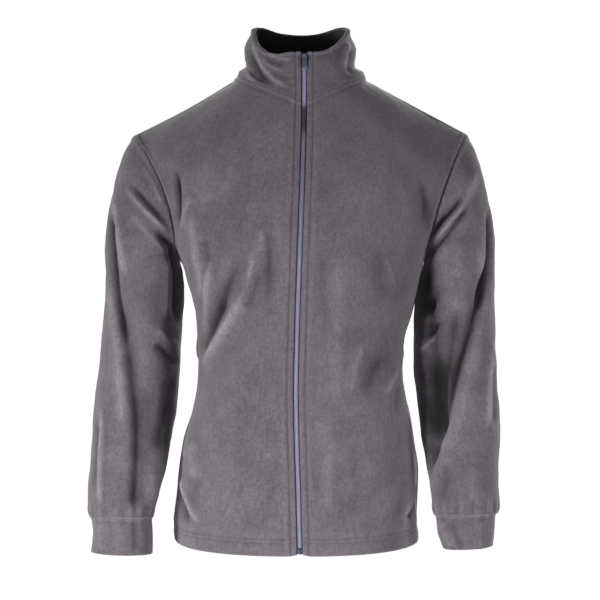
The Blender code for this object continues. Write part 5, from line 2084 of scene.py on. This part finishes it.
@dataclass
class Studio:
    """A pale floor that curves up into a backdrop, soft lights and a level camera in front."""

    camera_distance: float = 3.0
    camera_height: float = -0.33
    lens: float = 120.0
    floor: float = -1.45
    room: float = 6.5
    cove: float = 1.2
    white: float = 0.92
    around: int = 72
    ambient: float = 0.05
    lamps: tuple[Lamp, ...] = (
        Lamp("key_right", (-2.0, -2.0, -0.85), (0, 0, -0.82), 0.8, 12.0, 66),
        Lamp("key_left", (2.4, -1.5, -0.85), (0, 0, -0.82), 0.8, 6.2, 66),
        Lamp("fill", (0.0, -3.2, -0.75), (0, 0, -0.60), 1.2, 6),
        Lamp("rim_right", (-2.0, 1.2, -0.5), (0, 0, -0.5), 1.0, 10),
        Lamp("rim_left", (2.0, 1.2, -0.5), (0, 0, -0.5), 1.0, 19),
        Lamp("top", (0, 0.8, 2.0), (0, 0, -0.3), 1.2, 5),
        Lamp("behind", (0.7, 2.5, 0.8), (0, 0, -0.45), 1.2, 8, 60),
    )

    def light(self, lamp: Lamp) -> None:
        """Adds a light.

        Args:
            lamp: What it is.
        """
        light = bpy.data.lights.new(lamp.name, "AREA")
        light.size, light.energy, light.spread = lamp.size, lamp.power, math.radians(lamp.spread)
        made = bpy.data.objects.new(lamp.name, light)
        made.location = lamp.place
        made.rotation_euler = (Vector(lamp.towards) - Vector(lamp.place)).to_track_quat("-Z", "Y").to_euler()
        bpy.context.scene.collection.objects.link(made)

    def backdrop(self) -> None:
        """Makes the floor and backdrop as one round room: a profile turned all the way round.

        The profile is a flat floor, a quarter circle up into the wall, and a quarter ellipse over to the top.
        """
        turn = np.linspace(0, math.pi / 2, 20)
        reach = self.room - self.cove
        radius = np.concatenate([[0.01, reach / 2], reach + self.cove * np.sin(turn), self.room * np.cos(turn[1:-1])])
        low = self.floor + self.cove
        ceiling = low + self.room * np.sin(turn[1:-1])
        height = np.concatenate([[self.floor] * 2, low - self.cove * np.cos(turn), ceiling])[:, None]
        round_it = once_round(self.around)
        x, y = radius[:, None] * np.cos(round_it), radius[:, None] * np.sin(round_it)
        grid = np.stack([x, y, np.broadcast_to(height, x.shape)], axis=-1)
        faces = quads(len(grid), self.around, closed=True)[:, [0, 3, 2, 1]].tolist()
        caps = [face[::-1] for face in end_faces(len(grid), self.around)]
        room = new_mesh("studio_backdrop", grid, faces + caps)
        graph = Graph("studio paper", Roughness=0.9, Base_Color=(self.white,) * 3 + (1,), Emission_Strength=1.0)
        graph.shader.inputs["Emission Color"].default_value = (1, 1, 1, 1)
        room.data.materials.append(graph.material)
        room.visible_diffuse = room.visible_shadow = room.visible_glossy = False

    def build(self) -> None:
        """Sets up the backdrop, the lights, the camera and the tones."""
        self.backdrop()
        for lamp in self.lamps:
            self.light(lamp)
        world = bpy.data.worlds.new("studio")
        world.use_nodes = True
        world.node_tree.nodes["Background"].inputs["Color"].default_value = (1, 1, 1, 1)
        world.node_tree.nodes["Background"].inputs["Strength"].default_value = self.ambient
        scene = bpy.context.scene
        scene.world = world
        camera = bpy.data.cameras.new("camera")
        camera.lens, camera.sensor_width = self.lens, 36
        made = bpy.data.objects.new("camera", camera)
        made.location = (0, -self.camera_distance, self.camera_height)
        made.rotation_euler = (math.pi / 2, 0, 0)
        scene.collection.objects.link(made)
        scene.camera = made
        scene.view_settings.view_transform = "Standard"


def main() -> None:
    """Builds the studio, then each part of the jacket in order."""
    logging.basicConfig(level=logging.INFO, format="%(message)s")
    Studio().build()
    fleece = Fleece("grey fleece", "fleece", (0.150, 0.134, 0.152))
    lining = Facing("dark facing", "facing", (0.062, 0.058, 0.062))
    woven = Weave("zip tape", "zip_tape", (0.090, 0.090, 0.175))
    plastic = Plastic("zip coil", "zip_coil", (0.500, 0.490, 0.650))
    metal = Metal("painted metal", "zip_metal", (0.115, 0.125, 0.170))
    bare = Metal("dark box metal", "zip_metal", (0.060, 0.066, 0.090), rubbed=0.0)
    thread = Thread("sewing thread", "fleece", (0.085, 0.076, 0.086))
    form = TorsoForm()
    body = Body(form, fleece)
    for side in Side:
        body.front(side)
    body.back()
    for side in Side:
        sleeve = Sleeve(side, fleece)
        sleeve.sleeve()
        sleeve.cuff()
    collar = Collar(body.neck_seam(), fleece, lining).build()
    Zip(form, collar, woven, plastic, metal, bare).build()
    stitch(body, collar, thread)


def stitch(body: Body, collar: Cloth, thread: Finish) -> None:
    """Sews the lines beside the zip and the two lines round the hem.

    Args:
        body: The body, whose cloths are made.
        collar: The collar's cloth.
        thread: The thread's finish.
    """
    beside_zip, hem = Stitching(thread), Stitching(thread)
    from_zip = ZIP_GROOVE.distance * MM
    for side in Side:
        cloth = body.cloths["front_" + side.word]
        beside_zip.along(cloth, lengths_along(cloth.plain, 1) - from_zip, 1)
    along = lengths_along(collar.plain, 1)
    beside_zip.along(collar, along - from_zip, 1)
    beside_zip.along(collar, along[:, -1:] - along - from_zip, 1, flip=True)
    for cloth in body.cloths.values():
        for groove in body.hem_grooves:
            hem.along(cloth, lengths_along(cloth.plain, 0) - groove.distance * MM, 0)
    beside_zip.build("zip_topstitching")
    hem.build("hem_topstitching")


if __name__ == "__main__":
    main()
